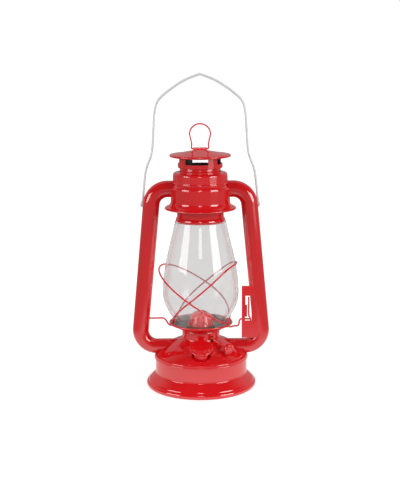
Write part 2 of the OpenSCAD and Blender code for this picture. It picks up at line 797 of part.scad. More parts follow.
// Wick shaft, its toothed wheels and its notched knob
module wick_shaft() {
    color(paint) at_shaft() translate([0, 0, -shaft_in]) cylinder(r = shaft_r, h = shaft_in + shaft_reach);
}
module wick_wheels() {
    teeth = [for (i = [0:2 * wheel_teeth - 1]) let (r = i % 2 == 0 ? wheel_r : wheel_root_r)
        r * [cos(180 * i / wheel_teeth), sin(180 * i / wheel_teeth)]];
    color(brass) at_shaft() for (side = [-1, 1]) translate([0, 0, side * wheel_at - wheel_t / 2])
        linear_extrude(wheel_t) difference() {
            polygon(teeth);
            circle(shaft_r + fit / 2);
        }
}
module wick_knob() {
    color(paint) at_shaft() translate([0, 0, shaft_reach - knob_hub_l]) difference() {
        union() {
            cylinder(r = knob_hub_r, h = knob_hub_l + 1);
            translate([0, 0, knob_hub_l]) linear_extrude(knob_t) difference() {
                circle(knob_r);
                for (i = [0:knob_notches - 1]) rotate(360 * i / knob_notches)
                    translate([knob_r + notch_r / 2, 0]) circle(notch_r, $fn = 24);
            }
        }
        translate([0, 0, -1]) cylinder(r = shaft_r + fit / 2, h = knob_hub_l + 1);
    }
}

// Dished plate that carries the globe and lifts off the collar
module globe_plate() {
    color(paint) difference() {
        rotate_extrude() {
            polygon([[plate_hole_r, plate_z], [plate_hub_r, plate_z], plate_rim - [0, sheet_t],
                plate_rim, [plate_hub_r, plate_z + sheet_t], [plate_hole_r, plate_z + sheet_t]]);
            translate(plate_rim) circle(plate_bead_r);
        }
        for (low = [180 - left_turn, -right_turn], a = [-hoop_open, hoop_open]) rotate([0, 0, low + a])
            translate([guard_low_r, 0, plate_z]) cylinder(r = guard_wire_r + run_gap, h = plate_rise);
    }
}

// Inclined guard hoop that follows the glass: before the turn its low end is at -X, open, and goes down
// through two holes in the globe plate
hoop_open = 4.5;
hoop_bend = 12;
hoop_drop = [[4, 0.5], [1.2, -0.5], [0.2, -1.7], [0, -3], [0, -4.6]];
hoop_out = 2 * guard_wire_r + run_gap + 0.2;
function glass_r(z) = z < globe_z + globe_belly_h
    ? bowl_r(max(0, z - globe_z - globe_neck_h) / (globe_belly_h - globe_neck_h))
    : taper_r((z - globe_z - globe_belly_h) / (globe_h - globe_belly_h));
function round_axis(r, a, z) = [r * cos(a), r * sin(a), z];
function hoop_r(a, z, out, stand) = stand * pow(max(0, cos(a)), 1.5)
    + max(guard_low_r, glass_r(z) + guard_gap + guard_wire_r + out * abs(sin(a)));
function hoop(rise, out, stand) = [for (i = [0:hoop_steps])
    let (a = 180 + hoop_bend + (360 - 2 * hoop_bend) * i / hoop_steps,
        z = guard_low_z + rise * (1 + cos(a)) / 2)
    round_axis(hoop_r(a, z, out, stand), a, z)];
function drop_at(a, s) = round_axis(guard_low_r, a + sign(a) * s[0], guard_low_z + s[1]);
function drop_in() = [for (i = [len(hoop_drop) - 1:-1:0]) drop_at(hoop_open, hoop_drop[i])];
function drop_out() = [for (s = hoop_drop) drop_at(-hoop_open, s)];
function turned(p, a) = [for (q = p) [q.x * cos(a) - q.y * sin(a), q.x * sin(a) + q.y * cos(a), q.z]];

// Left wire: its outer end slides in the left tube's slot
module guard_wire_left() {
    tail = [[lever_x_left(), 0, lever_z], [lever_x_left() + 8, 0, lever_z], [-plate_r - 8.5, 0.4, lever_z],
        [-plate_r - 6.2, 0.8, lever_z - 0.5], [-plate_r - 3.6, 1.2, lever_z - 3.2],
        [-plate_r - 1.6, 1.5, guard_under_z + 1.4], [-plate_r + 0.4, 1.8, guard_under_z - 0.4],
        [-guard_low_r - 1.8, 2, guard_under_z - 1.3]];
    color(paint) wire(guard_path(tail, 180 - left_turn, hoop(left_rise, 0, 1)), guard_wire_r);
}
function lever_x_left() = -leg_x(lever_z) + tube_r - 3.2;
function guard_path(tail, low, ring) = concat(smooth(concat(tail, turned(drop_in(), low)), 4),
    turned(ring, low - 180), smooth(turned(drop_out(), low), 4));

// Right wire: its outer end goes through the bracket's slot and turns up as a finger pull
module guard_wire_right() {
    pull_x = lever_x - 2.2;
    tail = [[pull_x - 0.4, -pull_y - 1.2, lever_z + pull_h], [pull_x, -pull_y, lever_z + pull_h - 3],
        [pull_x, -pull_y, lever_z + 7], [lever_x - 0.6, -pull_y, lever_z + 3],
        [lever_x, -pull_y + 0.4, lever_z + 0.6], [lever_x, -pull_y + 1.8, lever_z],
        [lever_x, -lever_back_y - 0.6, lever_z],
        [lever_x - 1, -lever_back_y + 0.2, lever_z], [lever_x - 4, -lever_back_y + 0.4, lever_z],
        [plate_r + 10.1, -lever_back_y + 0.4, lever_z], [plate_r + 8, -lever_back_y + 0.2, lever_z - 1.6],
        [plate_r + 6.9, -lever_back_y, guard_under_z + 1.6], [plate_r + 5, -lever_back_y, guard_under_z],
        [plate_r + 1.6, -lever_back_y, guard_under_z - 0.1],
        [guard_low_r + 2.4, -lever_back_y, guard_under_z - 1.2]];
    color(paint) wire(guard_path(tail, -right_turn, hoop(right_rise, hoop_out, guard_stand)), guard_wire_r);
}

// Glass globe, open at foot and mouth
module globe() {
    inner = [for (i = [len(globe_outline) - 1:-1:0]) globe_outline[i] - [globe_t, 0]];
    color(clear_glass) translate([0, 0, globe_z]) rotate_extrude() polygon(concat(globe_outline, inner));
}

// Crown: a beaded sleeve that sits on the globe's mouth and carries the chimney
module globe_crown() {
    color(paint) rotate_extrude() {
        upright(crown_r, crown_z - crown_bead_r - crown_skirt, crown_top);
        level(crown_r - sheet_t, crown_bead_x, crown_z - sheet_t / 2);
        translate([crown_bead_x, crown_z]) circle(crown_bead_r);
        level(chimney_r + fit, crown_r, crown_top - sheet_t);
    }
}

// Chimney tube that slides through the hood
module chimney_tube() {
    color(paint) rotate_extrude() upright(chimney_r, chimney_low, chimney_top);
}

// Light spring in the hood that holds the crown down on the globe
module chimney_spring() {
    steps = spring_sides * spring_turns;
    turn = 360 / spring_sides;
    color(zinc) wire([for (i = [0:steps]) [spring_r * cos(turn * i), spring_r * sin(turn * i),
        spring_low + (spring_high - spring_low) * i / steps]], spring_wire_r, 6);
}

// Slotted ring between chimney and cap
module vent_band() {
    pitch = 360 / vent_count;
    first = -100 + vent_post / 2 - pitch / 2;
    color(paint) difference() {
        rotate_extrude() {
            upright(vent_r, vent_z, cap_under(vent_r) - fit);
            level(chimney_r + fit, vent_r, vent_z);
        }
        for (i = [0:vent_count - 1]) rotate([0, 0, first + i * pitch])
            rotate_extrude(angle = pitch - vent_post) translate([chimney_r, vent_slot_z])
                square([vent_r - chimney_r + 1, vent_slot_h]);
    }
}

// Shallow conical cap with a flat top and a rolled rim
module cap() {
    color(paint) rotate_extrude() {
        polygon([[0, cap_top - sheet_t], [cap_flat_r, cap_top - sheet_t], cap_rim - [0, sheet_t],
            cap_rim, [cap_flat_r, cap_top], [0, cap_top]]);
        translate(cap_rim - [0, sheet_t / 2]) circle(cap_bead_r);
    }
}

// Strap on the cap, rolled into a knuckle round the lift ring's foot
module ring_strap() {
    color(paint) difference() {
        union() {
            translate([-strap_w, -strap_d, cap_top + fit]) cube([2 * strap_w, 2 * strap_d, sheet_t]);
            translate([-strap_w, 0, ring_z]) rotate([0, 90, 0]) cylinder(r = knuckle_r, h = 2 * strap_w);
        }
        translate([-strap_w - 1, 0, ring_z]) rotate([0, 90, 0])
            cylinder(r = ring_wire_r + bearing_gap, h = 2 * strap_w + 2);
    }
}

// Half outlines of ring and bail run from the top to the foot and are mirrored to the other side
function both_sides(half) = concat([for (q = half) [-q.x, 0, q.y]],
    [for (i = [len(half) - 2:-1:0]) [half[i].x, 0, half[i].y]]);
function foot_bend(x, r) = [for (a = [0:18:90]) [x - r + r * cos(a), r - r * sin(a)]];

// Lift ring: a round wire bow on a straight foot in the strap's knuckle
module lift_ring() {
    bow_z = ring_h - ring_wire_r - ring_w;
    bow = [for (a = [0:12:84]) [ring_w * cos(a), bow_z + ring_w * sin(a)]];
    leg = [[ring_foot_w, ring_bend + 1.5], [ring_foot_w, 0.4 * bow_z],
        [ring_foot_w + 0.5 * (ring_w - ring_foot_w), 0.72 * bow_z]];
    half = concat([[ring_foot_w - ring_bend - 2, 0]],
        [for (i = [5:-1:0]) foot_bend(ring_foot_w, ring_bend)[i]], leg, bow, [[0, bow_z + ring_w]]);
    color(paint) translate([0, 0, ring_z]) {
        wire(both_sides(half), ring_wire_r - 0.02);
        translate([-ring_foot_w + ring_bend, 0, 0]) rotate([0, 90, 0])
            cylinder(r = ring_wire_r, h = 2 * (ring_foot_w - ring_bend));
    }
}

// Bail: a wire handle with a pointed top that narrows over the hood and hooks into the eyelets
module bail() {
    bow = smooth([[0, bail_h], [0.36 * bail_grip_w, 0.95 * bail_h], [0.73 * bail_grip_w, 0.864 * bail_h],
        [0.92 * bail_grip_w, 0.798 * bail_h], [0.99 * bail_grip_w, 0.72 * bail_h],
        [bail_grip_w + 0.05 * bail_flare_w, 0.61 * bail_h], [bail_grip_w + 0.14 * bail_flare_w, 0.466 * bail_h],
        [bail_grip_w + 0.26 * bail_flare_w, 0.388 * bail_h], [bail_grip_w + 0.58 * bail_flare_w, 0.3 * bail_h],
        [bail_grip_w + 0.72 * bail_flare_w, 0.22 * bail_h], [bail_grip_w + 0.9 * bail_flare_w, 0.05 * bail_h],
        [bail_foot_w, bail_bend + 2]], 3);
    half = concat([[bail_foot_w - bail_bend - 2, 0]],
        [for (i = [5:-1:0]) foot_bend(bail_foot_w, bail_bend)[i]],
        [for (i = [len(bow) - 1:-1:0]) bow[i]]);
    pin_x = bail_foot_w - bail_bend - bail_pin_in;
    color(zinc) translate([0, 0, pivot_z]) {
        wire(both_sides(half), bail_wire_r - 0.02);
        for (side = [0, 1]) mirror([side, 0, 0]) translate([pin_x, 0, 0]) rotate([0, 90, 0])
            cylinder(r = bail_wire_r, h = bail_pin_in);
    }
}

foot_ring();
fount_wall();
fount_floor();
fount_dome();
air_pan();
burner_collar();
filler_neck();
filler_seal();
filler_cap();
left_tube();
right_tube();
bail_eyelets();
lift_bracket();
hood_lower();
hood_upper();
burner_cup();
wick_tube();
shaft_bush();
burner_cone();
wick();
wick_shaft();
wick_wheels();
wick_knob();
globe_plate();
guard_wire_left();
guard_wire_right();
globe();
globe_crown();
chimney_tube();
chimney_spring();
vent_band();
cap();
ring_strap();
lift_ring();
bail();
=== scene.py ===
"""Hurricane lantern: how each piece looks, on the frame that the CAD model gives."""
import math

import bpy
from mathutils import Matrix, Vector


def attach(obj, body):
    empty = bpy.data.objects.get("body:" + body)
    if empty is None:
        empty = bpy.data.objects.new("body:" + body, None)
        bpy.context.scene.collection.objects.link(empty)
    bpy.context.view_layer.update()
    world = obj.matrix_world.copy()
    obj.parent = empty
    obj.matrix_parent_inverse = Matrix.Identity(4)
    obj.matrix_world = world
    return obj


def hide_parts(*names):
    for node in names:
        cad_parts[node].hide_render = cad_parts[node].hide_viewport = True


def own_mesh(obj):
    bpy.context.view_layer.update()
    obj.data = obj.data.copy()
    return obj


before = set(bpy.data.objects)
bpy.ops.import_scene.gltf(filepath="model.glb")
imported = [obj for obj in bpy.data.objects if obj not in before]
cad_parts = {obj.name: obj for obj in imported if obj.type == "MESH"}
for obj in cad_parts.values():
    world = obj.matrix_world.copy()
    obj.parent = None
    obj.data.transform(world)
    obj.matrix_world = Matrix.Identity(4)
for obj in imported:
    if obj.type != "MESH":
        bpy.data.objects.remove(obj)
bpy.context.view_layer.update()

bpy.context.scene.view_settings.view_transform = "Standard"

# Foot: a deep flared skirt pressed from one disc of sheet steel, dipped in red enamel and stoved.
# A cone spreads from the fount to a rounded shoulder, the lower edge is rolled under into a bead that
# the lantern stands on, and the upper edge is stepped in, so that the fount's wall is pushed over it.
MM = 0.001
SHEET = 0.8
WELD = 0.002
STRAIGHT, HOLD = 2.5, 0.4
FOOT_STEP = [(52.35, 24.6), (52.35, 18.3), (52.5, 17.8), (52.85, 17.5)]
FOOT_FILLET = ((55.8, 17.2), 2.5)
FOOT_SHOULDER = ((58.2, 6.4), 3.6)
RIM = ((60.9, 3.7), 3.3)
SMOOTH = math.radians(35)


def linear(colour):
    """Turn an sRGB hex colour into linear red, green, blue and alpha."""
    parts = [int(colour[i:i + 2], 16) / 255 for i in (1, 3, 5)]
    return [c / 12.92 if c <= 0.04045 else ((c + 0.055) / 1.055) ** 2.4 for c in parts] + [1.0]


def add_node(tree, kind, settings=None, links=None):
    """Add a shader node, give its sockets and properties their values and link its inputs."""
    made = tree.nodes.new(kind)
    for key, value in (settings or {}).items():
        if isinstance(key, int) or key in made.inputs:
            made.inputs[key].default_value = value
        else:
            setattr(made, key, value)
    for key, source in (links or {}).items():
        tree.links.new(source, made.inputs[key])
    return made


def new_material(name):
    """Start a material: gives its node tree, its shader and its object coordinates."""
    made = bpy.data.materials.new(name)
    made.use_nodes = True
    shader = made.node_tree.nodes["Principled BSDF"]
    place = add_node(made.node_tree, "ShaderNodeTexCoord").outputs["Object"]
    return made, made.node_tree, shader, place


def drawn_line(name, points):
    """Draw a chain of edges through points in millimetres, from one vertex."""
    bpy.ops.object.select_all(action="DESELECT")
    bpy.ops.mesh.primitive_plane_add(size=MM, location=(0, 0, 0))
    line = bpy.context.object
    line.name = name
    line.data.name = name
    bpy.ops.object.mode_set(mode="EDIT")
    bpy.ops.mesh.merge(type="CENTER")
    here = Vector((0, 0, 0))
    for number, point in enumerate(points):
        step = Vector(point) * MM - here
        if number == 0:
            bpy.ops.transform.translate(value=step)
        else:
            bpy.ops.mesh.extrude_region_move(TRANSFORM_OT_translate={"value": step})
        here += step
    bpy.ops.object.mode_set(mode="OBJECT")
    return line


def clean(piece):
    """Merge a new mesh's doubles and turn its faces outwards."""
    bpy.context.view_layer.objects.active = piece
    bpy.ops.object.mode_set(mode="EDIT")
    bpy.ops.mesh.select_all(action="SELECT")
    bpy.ops.mesh.remove_doubles(threshold=WELD * MM)
    bpy.ops.mesh.normals_make_consistent(inside=False)
    bpy.ops.mesh.select_all(action="DESELECT")
    bpy.ops.object.mode_set(mode="OBJECT")


def thicken(piece, wall):
    """Give a sheet its thickness, half of it on each side."""
    bpy.ops.object.modifier_add(type="SOLIDIFY")
    shell = piece.modifiers[-1]
    shell.thickness = wall * MM
    shell.offset = 0.0
    shell.use_even_offset = True
    bpy.ops.object.modifier_apply(modifier=shell.name)


def held(section):
    """Add points close to the ends of long straights, so that smooth shading leaves them straight."""
    points = [Vector(section[0])]
    for point in section[1:]:
        a, b = points[-1], Vector(point)
        if (b - a).length > STRAIGHT:
            step = (b - a).normalized() * HOLD
            points += [a + step, b - step]
        points.append(b)
    return points


def spun(name, section, wall=SHEET, foot=(0, 0, 0), axis=(0, 0, 1), steps=144):
    """Spin a section of (radius, height) points about an axis through foot, in millimetres."""
    along = Vector(axis).normalized()
    across = along.orthogonal().normalized()
    piece = drawn_line(name, [Vector(foot) + across * r + along * h for r, h in held(section)])
    bpy.ops.object.mode_set(mode="EDIT")
    bpy.ops.mesh.select_all(action="SELECT")
    bpy.ops.mesh.spin(steps=steps, angle=math.tau, center=Vector(foot) * MM, axis=along)
    bpy.ops.object.mode_set(mode="OBJECT")
    clean(piece)
    if wall:
        thicken(piece, wall)
    bpy.ops.object.shade_smooth_by_angle(angle=SMOOTH)
    return piece


def arc(centre, radius, start, end, steps=10):
    """Points of a round in section, from one angle to another in degrees."""
    angles = [math.radians(start + (end - start) * i / steps) for i in range(steps + 1)]
    return [(centre[0] + radius * math.cos(a), centre[1] + radius * math.sin(a)) for a in angles]


def hand_over(piece, material, body, slot, *nodes):
    """Finish a piece: its material, the body it moves with and the CAD nodes it stands for; the slot is not
    used.
    """
    piece.data.materials.clear()
    piece.data.materials.append(material)
    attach(piece, body)
    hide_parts(*nodes)


# Stoved gloss enamel on sheet steel: one deep red with sharp highlights, a faint orange peel from
# the dip, and slow changes of depth where the coat ran thicker.
# A colour mix takes its two colours at sockets A and B and gives the mixed one at its own.
ENAMEL_THIN = "#ec141b"
ENAMEL_DEEP = "#e00d15"
COAT_RUN = 42
PEEL = 2.6
MIX_A, MIX_B, MIXED = 6, 7, 2
enamel, tree, shader, place = new_material("stoved_red_enamel")
run = add_node(tree, "ShaderNodeTexNoise", {"Scale": 1 / (COAT_RUN * MM), "Detail": 2.0}, {"Vector": place})
depth = add_node(tree, "ShaderNodeMix",
                 {"data_type": "RGBA", MIX_A: linear(ENAMEL_THIN), MIX_B: linear(ENAMEL_DEEP)},
                 {"Factor": run.outputs["Fac"]})
gloss = add_node(tree, "ShaderNodeMapRange", {"To Min": 0.07, "To Max": 0.13},
                 {"Value": run.outputs["Fac"]})
peel = add_node(tree, "ShaderNodeTexNoise", {"Scale": 1 / (PEEL * MM), "Detail": 1.0}, {"Vector": place})
skin = add_node(tree, "ShaderNodeBump", {"Strength": 0.05, "Distance": 0.1 * MM},
                {"Height": peel.outputs["Fac"]})
tree.links.new(depth.outputs[MIXED], shader.inputs["Base Color"])
tree.links.new(gloss.outputs["Result"], shader.inputs["Roughness"])
tree.links.new(skin.outputs["Normal"], shader.inputs["Normal"])
shader.inputs["IOR"].default_value = 1.95

foot_ring = spun("foot_ring", FOOT_STEP + arc(*FOOT_FILLET, 180, 224, 6) + arc(*FOOT_SHOULDER, 44, 14, 6)
                 + arc(*RIM, 62, -200, 26))
hand_over(foot_ring, enamel, "frame", "red_enamel", "foot_ring")

# Fount wall: a rolled band of sheet steel with both edges turned in a little, pushed over the
# foot's step and closed by the seam of the dome. Red enamel like the foot.
WALL_R = 53.3
fount_wall = spun("fount_wall", [(52.8, 17.95), (53.1, 17.75), (WALL_R, 18.0), (WALL_R, 35.6),
                                 (53.1, 36.0), (52.7, 36.2)])
hand_over(fount_wall, enamel, "frame", "red_enamel", "fount_wall")

# Fount floor: a shallow tinned pan, soldered inside the foot, that closes the tank from below.
# It is seen only from underneath, as dull tinned steel.
# Hot-dipped tin gives a warm grey metal, clouded where the tin has bloomed.
TIN = "#a9a8a3"
TIN_DULL = "#8b8983"
TIN_CLOUD = 9
tinplate, tree, shader, place = new_material("tinned_sheet_steel")
bloom = add_node(tree, "ShaderNodeTexNoise", {"Scale": 1 / (TIN_CLOUD * MM), "Detail": 5.0},
                 {"Vector": place})
tone = add_node(tree, "ShaderNodeMix",
                {"data_type": "RGBA", MIX_A: linear(TIN), MIX_B: linear(TIN_DULL)},
                {"Factor": bloom.outputs["Fac"]})
dull = add_node(tree, "ShaderNodeMapRange", {"To Min": 0.28, "To Max": 0.48},
                {"Value": bloom.outputs["Fac"]})
tree.links.new(tone.outputs[MIXED], shader.inputs["Base Color"])
tree.links.new(dull.outputs["Result"], shader.inputs["Roughness"])
shader.inputs["Metallic"].default_value = 1.0


def paint_node(name, material):
    """Give a CAD node that keeps its own shape a better material."""
    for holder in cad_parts[name].material_slots:
        holder.material = material


paint_node("fount_floor", tinplate)

# Fount dome: the drawn top of the tank. Its edge turns down over the wall like a lid, with a small
# bead at the seam, and it rises in a shallow bow to the burner collar. A seat for the filler is
# pressed into its front. Red enamel.
LID_BEAD = ((54.1, 34.5), 0.55)
SEAM = ((52.95, 36.8), 1.2)
DOME_FOOT, DOME_EDGE, DOME_BULGE = (52.6, 38.1), (22.6, 56.0), 2.4
FILLER = Vector((0, -40.57, 47.5))
FILLER_AXIS = Vector((0, -0.35837, 0.93358))
SEAT_R, SEAT_FLOOR_R, SEAT_DEEP = 11.0, 8.8, 4.0


def bow(start, end, bulge, steps=14):
    """Points of a shallow curve in section that bulges to the right of its direction."""
    a, b = Vector(start), Vector(end)
    chord = b - a
    side = Vector((chord.y, -chord.x)).normalized() * math.copysign(1, bulge)
    radius = (chord.length_squared / 4 + bulge * bulge) / (2 * abs(bulge))
    centre = (a + b) / 2 - side * (radius - abs(bulge))
    first = math.degrees(math.atan2(a.y - centre.y, a.x - centre.x))
    last = math.degrees(math.atan2(b.y - centre.y, b.x - centre.x))
    sweep = (last - first + 180) % 360 - 180
    return arc(centre, radius, first, first + sweep, steps)


fount_dome = spun("fount_dome", arc(*LID_BEAD, -150, 70, 12) + arc(*SEAM, 0, 62, 8)
                  + bow(DOME_FOOT, DOME_EDGE, DOME_BULGE, 40), 0, steps=288)
for vertex in fount_dome.data.vertices:
    spot = vertex.co / MM - FILLER
    off = (spot - FILLER_AXIS * spot.dot(FILLER_AXIS)).length
    part = min(1.0, max(0.0, (SEAT_R - off) / (SEAT_R - SEAT_FLOOR_R)))
    vertex.co -= FILLER_AXIS * SEAT_DEEP * part * part * (3 - 2 * part) * MM
thicken(fount_dome, SHEET)
bpy.ops.object.shade_smooth_by_angle(angle=SMOOTH)
hand_over(fount_dome, enamel, "frame", "red_enamel", "fount_dome")

# Air pan: a shallow tinned box soldered inside the dome, that the air tubes blow into and the burner
# draws from. Nothing of it shows from outside.
air_pan = spun("air_pan", [(0, 35.6), (28.4, 35.6), (29.3, 35.9), (29.6, 36.8), (29.6, 52.4)])
hand_over(air_pan, tinplate, "frame", "bare_sheet", "air_pan")

# Burner collar: a short upright ring soldered on the dome with a rounded upper edge. A slot lets
# the wick shaft out at the right front. Red enamel.
COLLAR_R = 21.5
WICK_TURN = math.radians(-43)


def block(name, low, high, turn=0.0):
    """Add a box between two corners in millimetres, turned about the lantern's axis."""
    bpy.ops.object.select_all(action="DESELECT")
    size = Vector(high) - Vector(low)
    bpy.ops.mesh.primitive_cube_add(size=MM, location=(Vector(low) + size / 2) * MM, scale=size)
    bpy.ops.object.transform_apply(location=True, rotation=True, scale=True)
    piece = bpy.context.object
    piece.name = name
    piece.rotation_euler.z = turn
    bpy.ops.object.transform_apply(location=True, rotation=True, scale=True)
    return piece


def cut(piece, cutter):
    """Take a cutter's shape out of a piece and throw the cutter away."""
    bpy.ops.object.select_all(action="DESELECT")
    piece.select_set(True)
    bpy.context.view_layer.objects.active = piece
    bpy.ops.object.modifier_add(type="BOOLEAN")
    tool = piece.modifiers[-1]
    tool.operation = "DIFFERENCE"
    tool.solver = "EXACT"
    tool.object = cutter
    bpy.ops.object.modifier_apply(modifier=tool.name)
    bpy.data.objects.remove(cutter, do_unlink=True)
    bpy.ops.object.shade_smooth_by_angle(angle=SMOOTH)


burner_collar = spun("burner_collar", [(23.9, 55.7), (22.9, 56.0), (22.2, 56.6), (21.7, 57.5),
                                       (COLLAR_R, 58.5)] + arc((17.3, 65.6), 4.2, 0, 27, 8))
cut(burner_collar, block("shaft_slot", (17, -6.7, 56.4), (26, -2.9, 63.2), WICK_TURN))
hand_over(burner_collar, enamel, "frame", "red_enamel", "burner_collar")

# Filler neck: a drawn neck soldered into the dome's seat at the front, leaning forward, a little wider
# at its root. Its thread is rolled into the sheet. Red enamel.
NECK_SHEET = 0.7
SCREW_R, SCREW_DEEP, SCREW_LOW, SCREW_STEP = 7.75, 0.22, 2.8, 0.45
screw = [(SCREW_R + SCREW_DEEP * (i % 2), SCREW_LOW + SCREW_STEP * i) for i in range(7)]
filler_neck = spun("filler_neck", [(9.0, -7.4), (8.5, -6.6), (8.3, -5.4), (8.2, 1.2), (8.1, 2.0),
                                   (7.8, 2.4)] + screw + [(7.7, 6.1)],
                   NECK_SHEET, FILLER, FILLER_AXIS, 96)
hand_over(filler_neck, enamel, "frame", "red_enamel", "filler_neck")

# Filler seal: a washer punched from black rubber, that the cap presses on the neck. It sits inside
# the cap. Cured rubber is near black and matt, greyed by a fine dust.
RUBBER = "#262524"
RUBBER_DUSTY = "#343230"
DUST = 1.5
rubber, tree, shader, place = new_material("black_rubber")
dust = add_node(tree, "ShaderNodeTexNoise", {"Scale": 1 / (DUST * MM), "Detail": 3.0}, {"Vector": place})
bloomed = add_node(tree, "ShaderNodeMix",
                   {"data_type": "RGBA", MIX_A: linear(RUBBER), MIX_B: linear(RUBBER_DUSTY)},
                   {"Factor": dust.outputs["Fac"]})
tree.links.new(bloomed.outputs[MIXED], shader.inputs["Base Color"])
shader.inputs["Roughness"].default_value = 0.75
paint_node("filler_seal", rubber)

# Filler cap: a wide pressed disc with a rolled edge over a threaded skirt that draws in downwards.
# It is screwed on the neck by hand. Red enamel.
filler_cap = spun("filler_cap", [(0, 9.6), (5, 9.6), (9.4, 9.5), (10.9, 9.34), (11.5, 9.36)]
                  + arc((12.4, 8.75), 0.75, 120, -95, 14)
                  + [(11.2, 7.85), (10.1, 7.55), (9.55, 7.0), (9.35, 6.2), (8.95, 3.0), (9.0, 2.6)],
                  SHEET, FILLER, FILLER_AXIS, 120)
hand_over(filler_cap, enamel, "filler_screw", "red_enamel", "filler_cap")

# Air tubes: two lengths of steel tube, bent over a former at shoulder and foot, let into hood and
# dome and soldered there. They feed cool air to the burner. Red enamel.
TUBE_R = 9.6
TUBE_TOP = 233.544
TUBE_LOW = 47.7
TUBE_DROP, TUBE_NARROW, NARROW_FROM = 1.1, 0.9, 110.0
SPLAY = 5.4405
TOP_BEND = ((37.73, 214.544), 19.0)
LOW_BEND = ((52.25, 66.3), 18.6)
SWEPT_SMOOTH = math.radians(50)


def swept(name, points, radius, rounds=5, closed=False, ends=True, shares=()):
    """Sweep a round section along points in millimetres, for a wire or a tube, narrowed by shares."""
    line = drawn_line(name, points)
    if closed:
        for vertex in line.data.vertices:
            vertex.select = vertex.index in (0, len(points) - 1)
        bpy.ops.object.mode_set(mode="EDIT")
        bpy.ops.mesh.edge_face_add()
        bpy.ops.object.mode_set(mode="OBJECT")
    bpy.ops.object.convert(target="CURVE")
    bar = bpy.context.object
    bar.data.bevel_depth = radius * MM
    bar.data.bevel_resolution = rounds
    bar.data.use_fill_caps = ends and not closed
    for spot, share in zip(bar.data.splines[0].points, shares):
        spot.radius = share
    bpy.ops.object.convert(target="MESH")
    bar = bpy.context.object
    bar.name = name
    bar.data.name = name
    clean(bar)
    bpy.ops.object.shade_smooth_by_angle(angle=SWEPT_SMOOTH)
    return bar


def air_tube(name, side):
    """Bend one air tube, on the right with side 1 and on the left with side -1. It narrows downwards."""
    route = ([(31.3, TUBE_TOP), (34.5, TUBE_TOP)] + arc(*TOP_BEND, 90, SPLAY, 24)
             + arc(*LOW_BEND, SPLAY, -90, 24)
             + [(48, TUBE_LOW), (40, TUBE_LOW), (32, TUBE_LOW), (24.5, TUBE_LOW)])
    low = [min(1.0, max(0.0, (NARROW_FROM - z) / (NARROW_FROM - TUBE_LOW))) ** 4 for x, z in route]
    tube = swept(name, [(side * x, 0, z - TUBE_DROP * d) for (x, z), d in zip(route, low)],
                 TUBE_R - SHEET / 2, 24, ends=False, shares=[1 - (1 - TUBE_NARROW) * d for d in low])
    thicken(tube, SHEET)
    bpy.ops.object.shade_smooth_by_angle(angle=SMOOTH)
    return tube


right_tube = air_tube("right_tube", 1)
left_tube = air_tube("left_tube", -1)
cut(left_tube, block("guide_slot", (-64, -1.4, 78.95), (-55, 1.4, 101.8)))
hand_over(right_tube, enamel, "frame", "red_enamel", "right_tube")
hand_over(left_tube, enamel, "frame", "red_enamel", "left_tube")

# Bail eyelets: two small flanged bushings pressed into the tubes' outer sides, that the bail's
# ends turn in. Red enamel.
EYELET = [(1.25, 64.0), (1.25, 66.2), (1.5, 66.5), (1.9, 66.57), (2.25, 66.4), (2.4, 66.1), (2.4, 64.0),
          (1.25, 64.0)]
PIVOT_Z = 213.346
bail_eyelets = spun("bail_eyelets", EYELET, 0, (0, 0, PIVOT_Z), (1, 0, 0), 40)
left_eyelet = spun("left_eyelet", EYELET, 0, (0, 0, PIVOT_Z), (-1, 0, 0), 40)
bail_eyelets.select_set(True)
bpy.context.view_layer.objects.active = bail_eyelets
bpy.ops.object.join()
hand_over(bail_eyelets, enamel, "frame", "red_enamel", "bail_eyelets")

# Lift bracket: a flat pressed plate soldered along the right tube. The lever wire runs in its slot
# and hooks into the notch below or the window above. Red enamel.
BRACKET_Y = (-8.8, -7.8)
BRACKET = [(47.7, 58.35), (71.0, 58.35), (66.0, 120.65), (47.7, 120.65)]
BRACKET_EDGE = 0.22
bpy.ops.object.select_all(action="DESELECT")
bpy.ops.mesh.primitive_plane_add(size=1)
lift_bracket = bpy.context.object
lift_bracket.name = "lift_bracket"
lift_bracket.data.name = "lift_bracket"
for corner, (x, z) in zip((0, 1, 3, 2), BRACKET):
    lift_bracket.data.vertices[corner].co = Vector((x, BRACKET_Y[0], z)) * MM
bpy.ops.object.mode_set(mode="EDIT")
plate = (0, (BRACKET_Y[1] - BRACKET_Y[0]) * MM, 0)
bpy.ops.mesh.extrude_region_move(TRANSFORM_OT_translate={"value": plate})
bpy.ops.object.mode_set(mode="OBJECT")
clean(lift_bracket)
cut(lift_bracket, block("lever_slot", (53.9, -12, 79.05), (59.2, -5, 101.6)))
cut(lift_bracket, block("lower_notch", (51.5, -12, 79.05), (59.2, -5, 83.65)))
cut(lift_bracket, block("upper_window", (52, -12, 97.95), (59.2, -5, 108.75)))
bpy.ops.object.modifier_add(type="BEVEL")
edge = lift_bracket.modifiers[-1]
edge.width = BRACKET_EDGE * MM
edge.segments = 2
bpy.ops.object.modifier_apply(modifier=edge.name)
bpy.ops.object.shade_smooth_by_angle(angle=SMOOTH)
hand_over(lift_bracket, enamel, "frame", "red_enamel", "lift_bracket")

# Hood, lower shell: a drawn bell with a flared lip that cool air goes in under. The tubes end in
# it, and its shoulder carries the upper shell. Red enamel.
LIP = (40.45, 211.5)
FLARE_TOP = (33.7, 219.2)
SHOULDER = (28.36, 234.0)
hood_lower = spun("hood_lower", arc(LIP, 0.5, -200, 50, 12) + bow(FLARE_TOP, (39.9, 212.5), 1.5)[::-1]
                  + arc(SHOULDER, 5.34, 0, 48.5, 10))
hand_over(hood_lower, enamel, "frame", "red_enamel", "hood_lower")

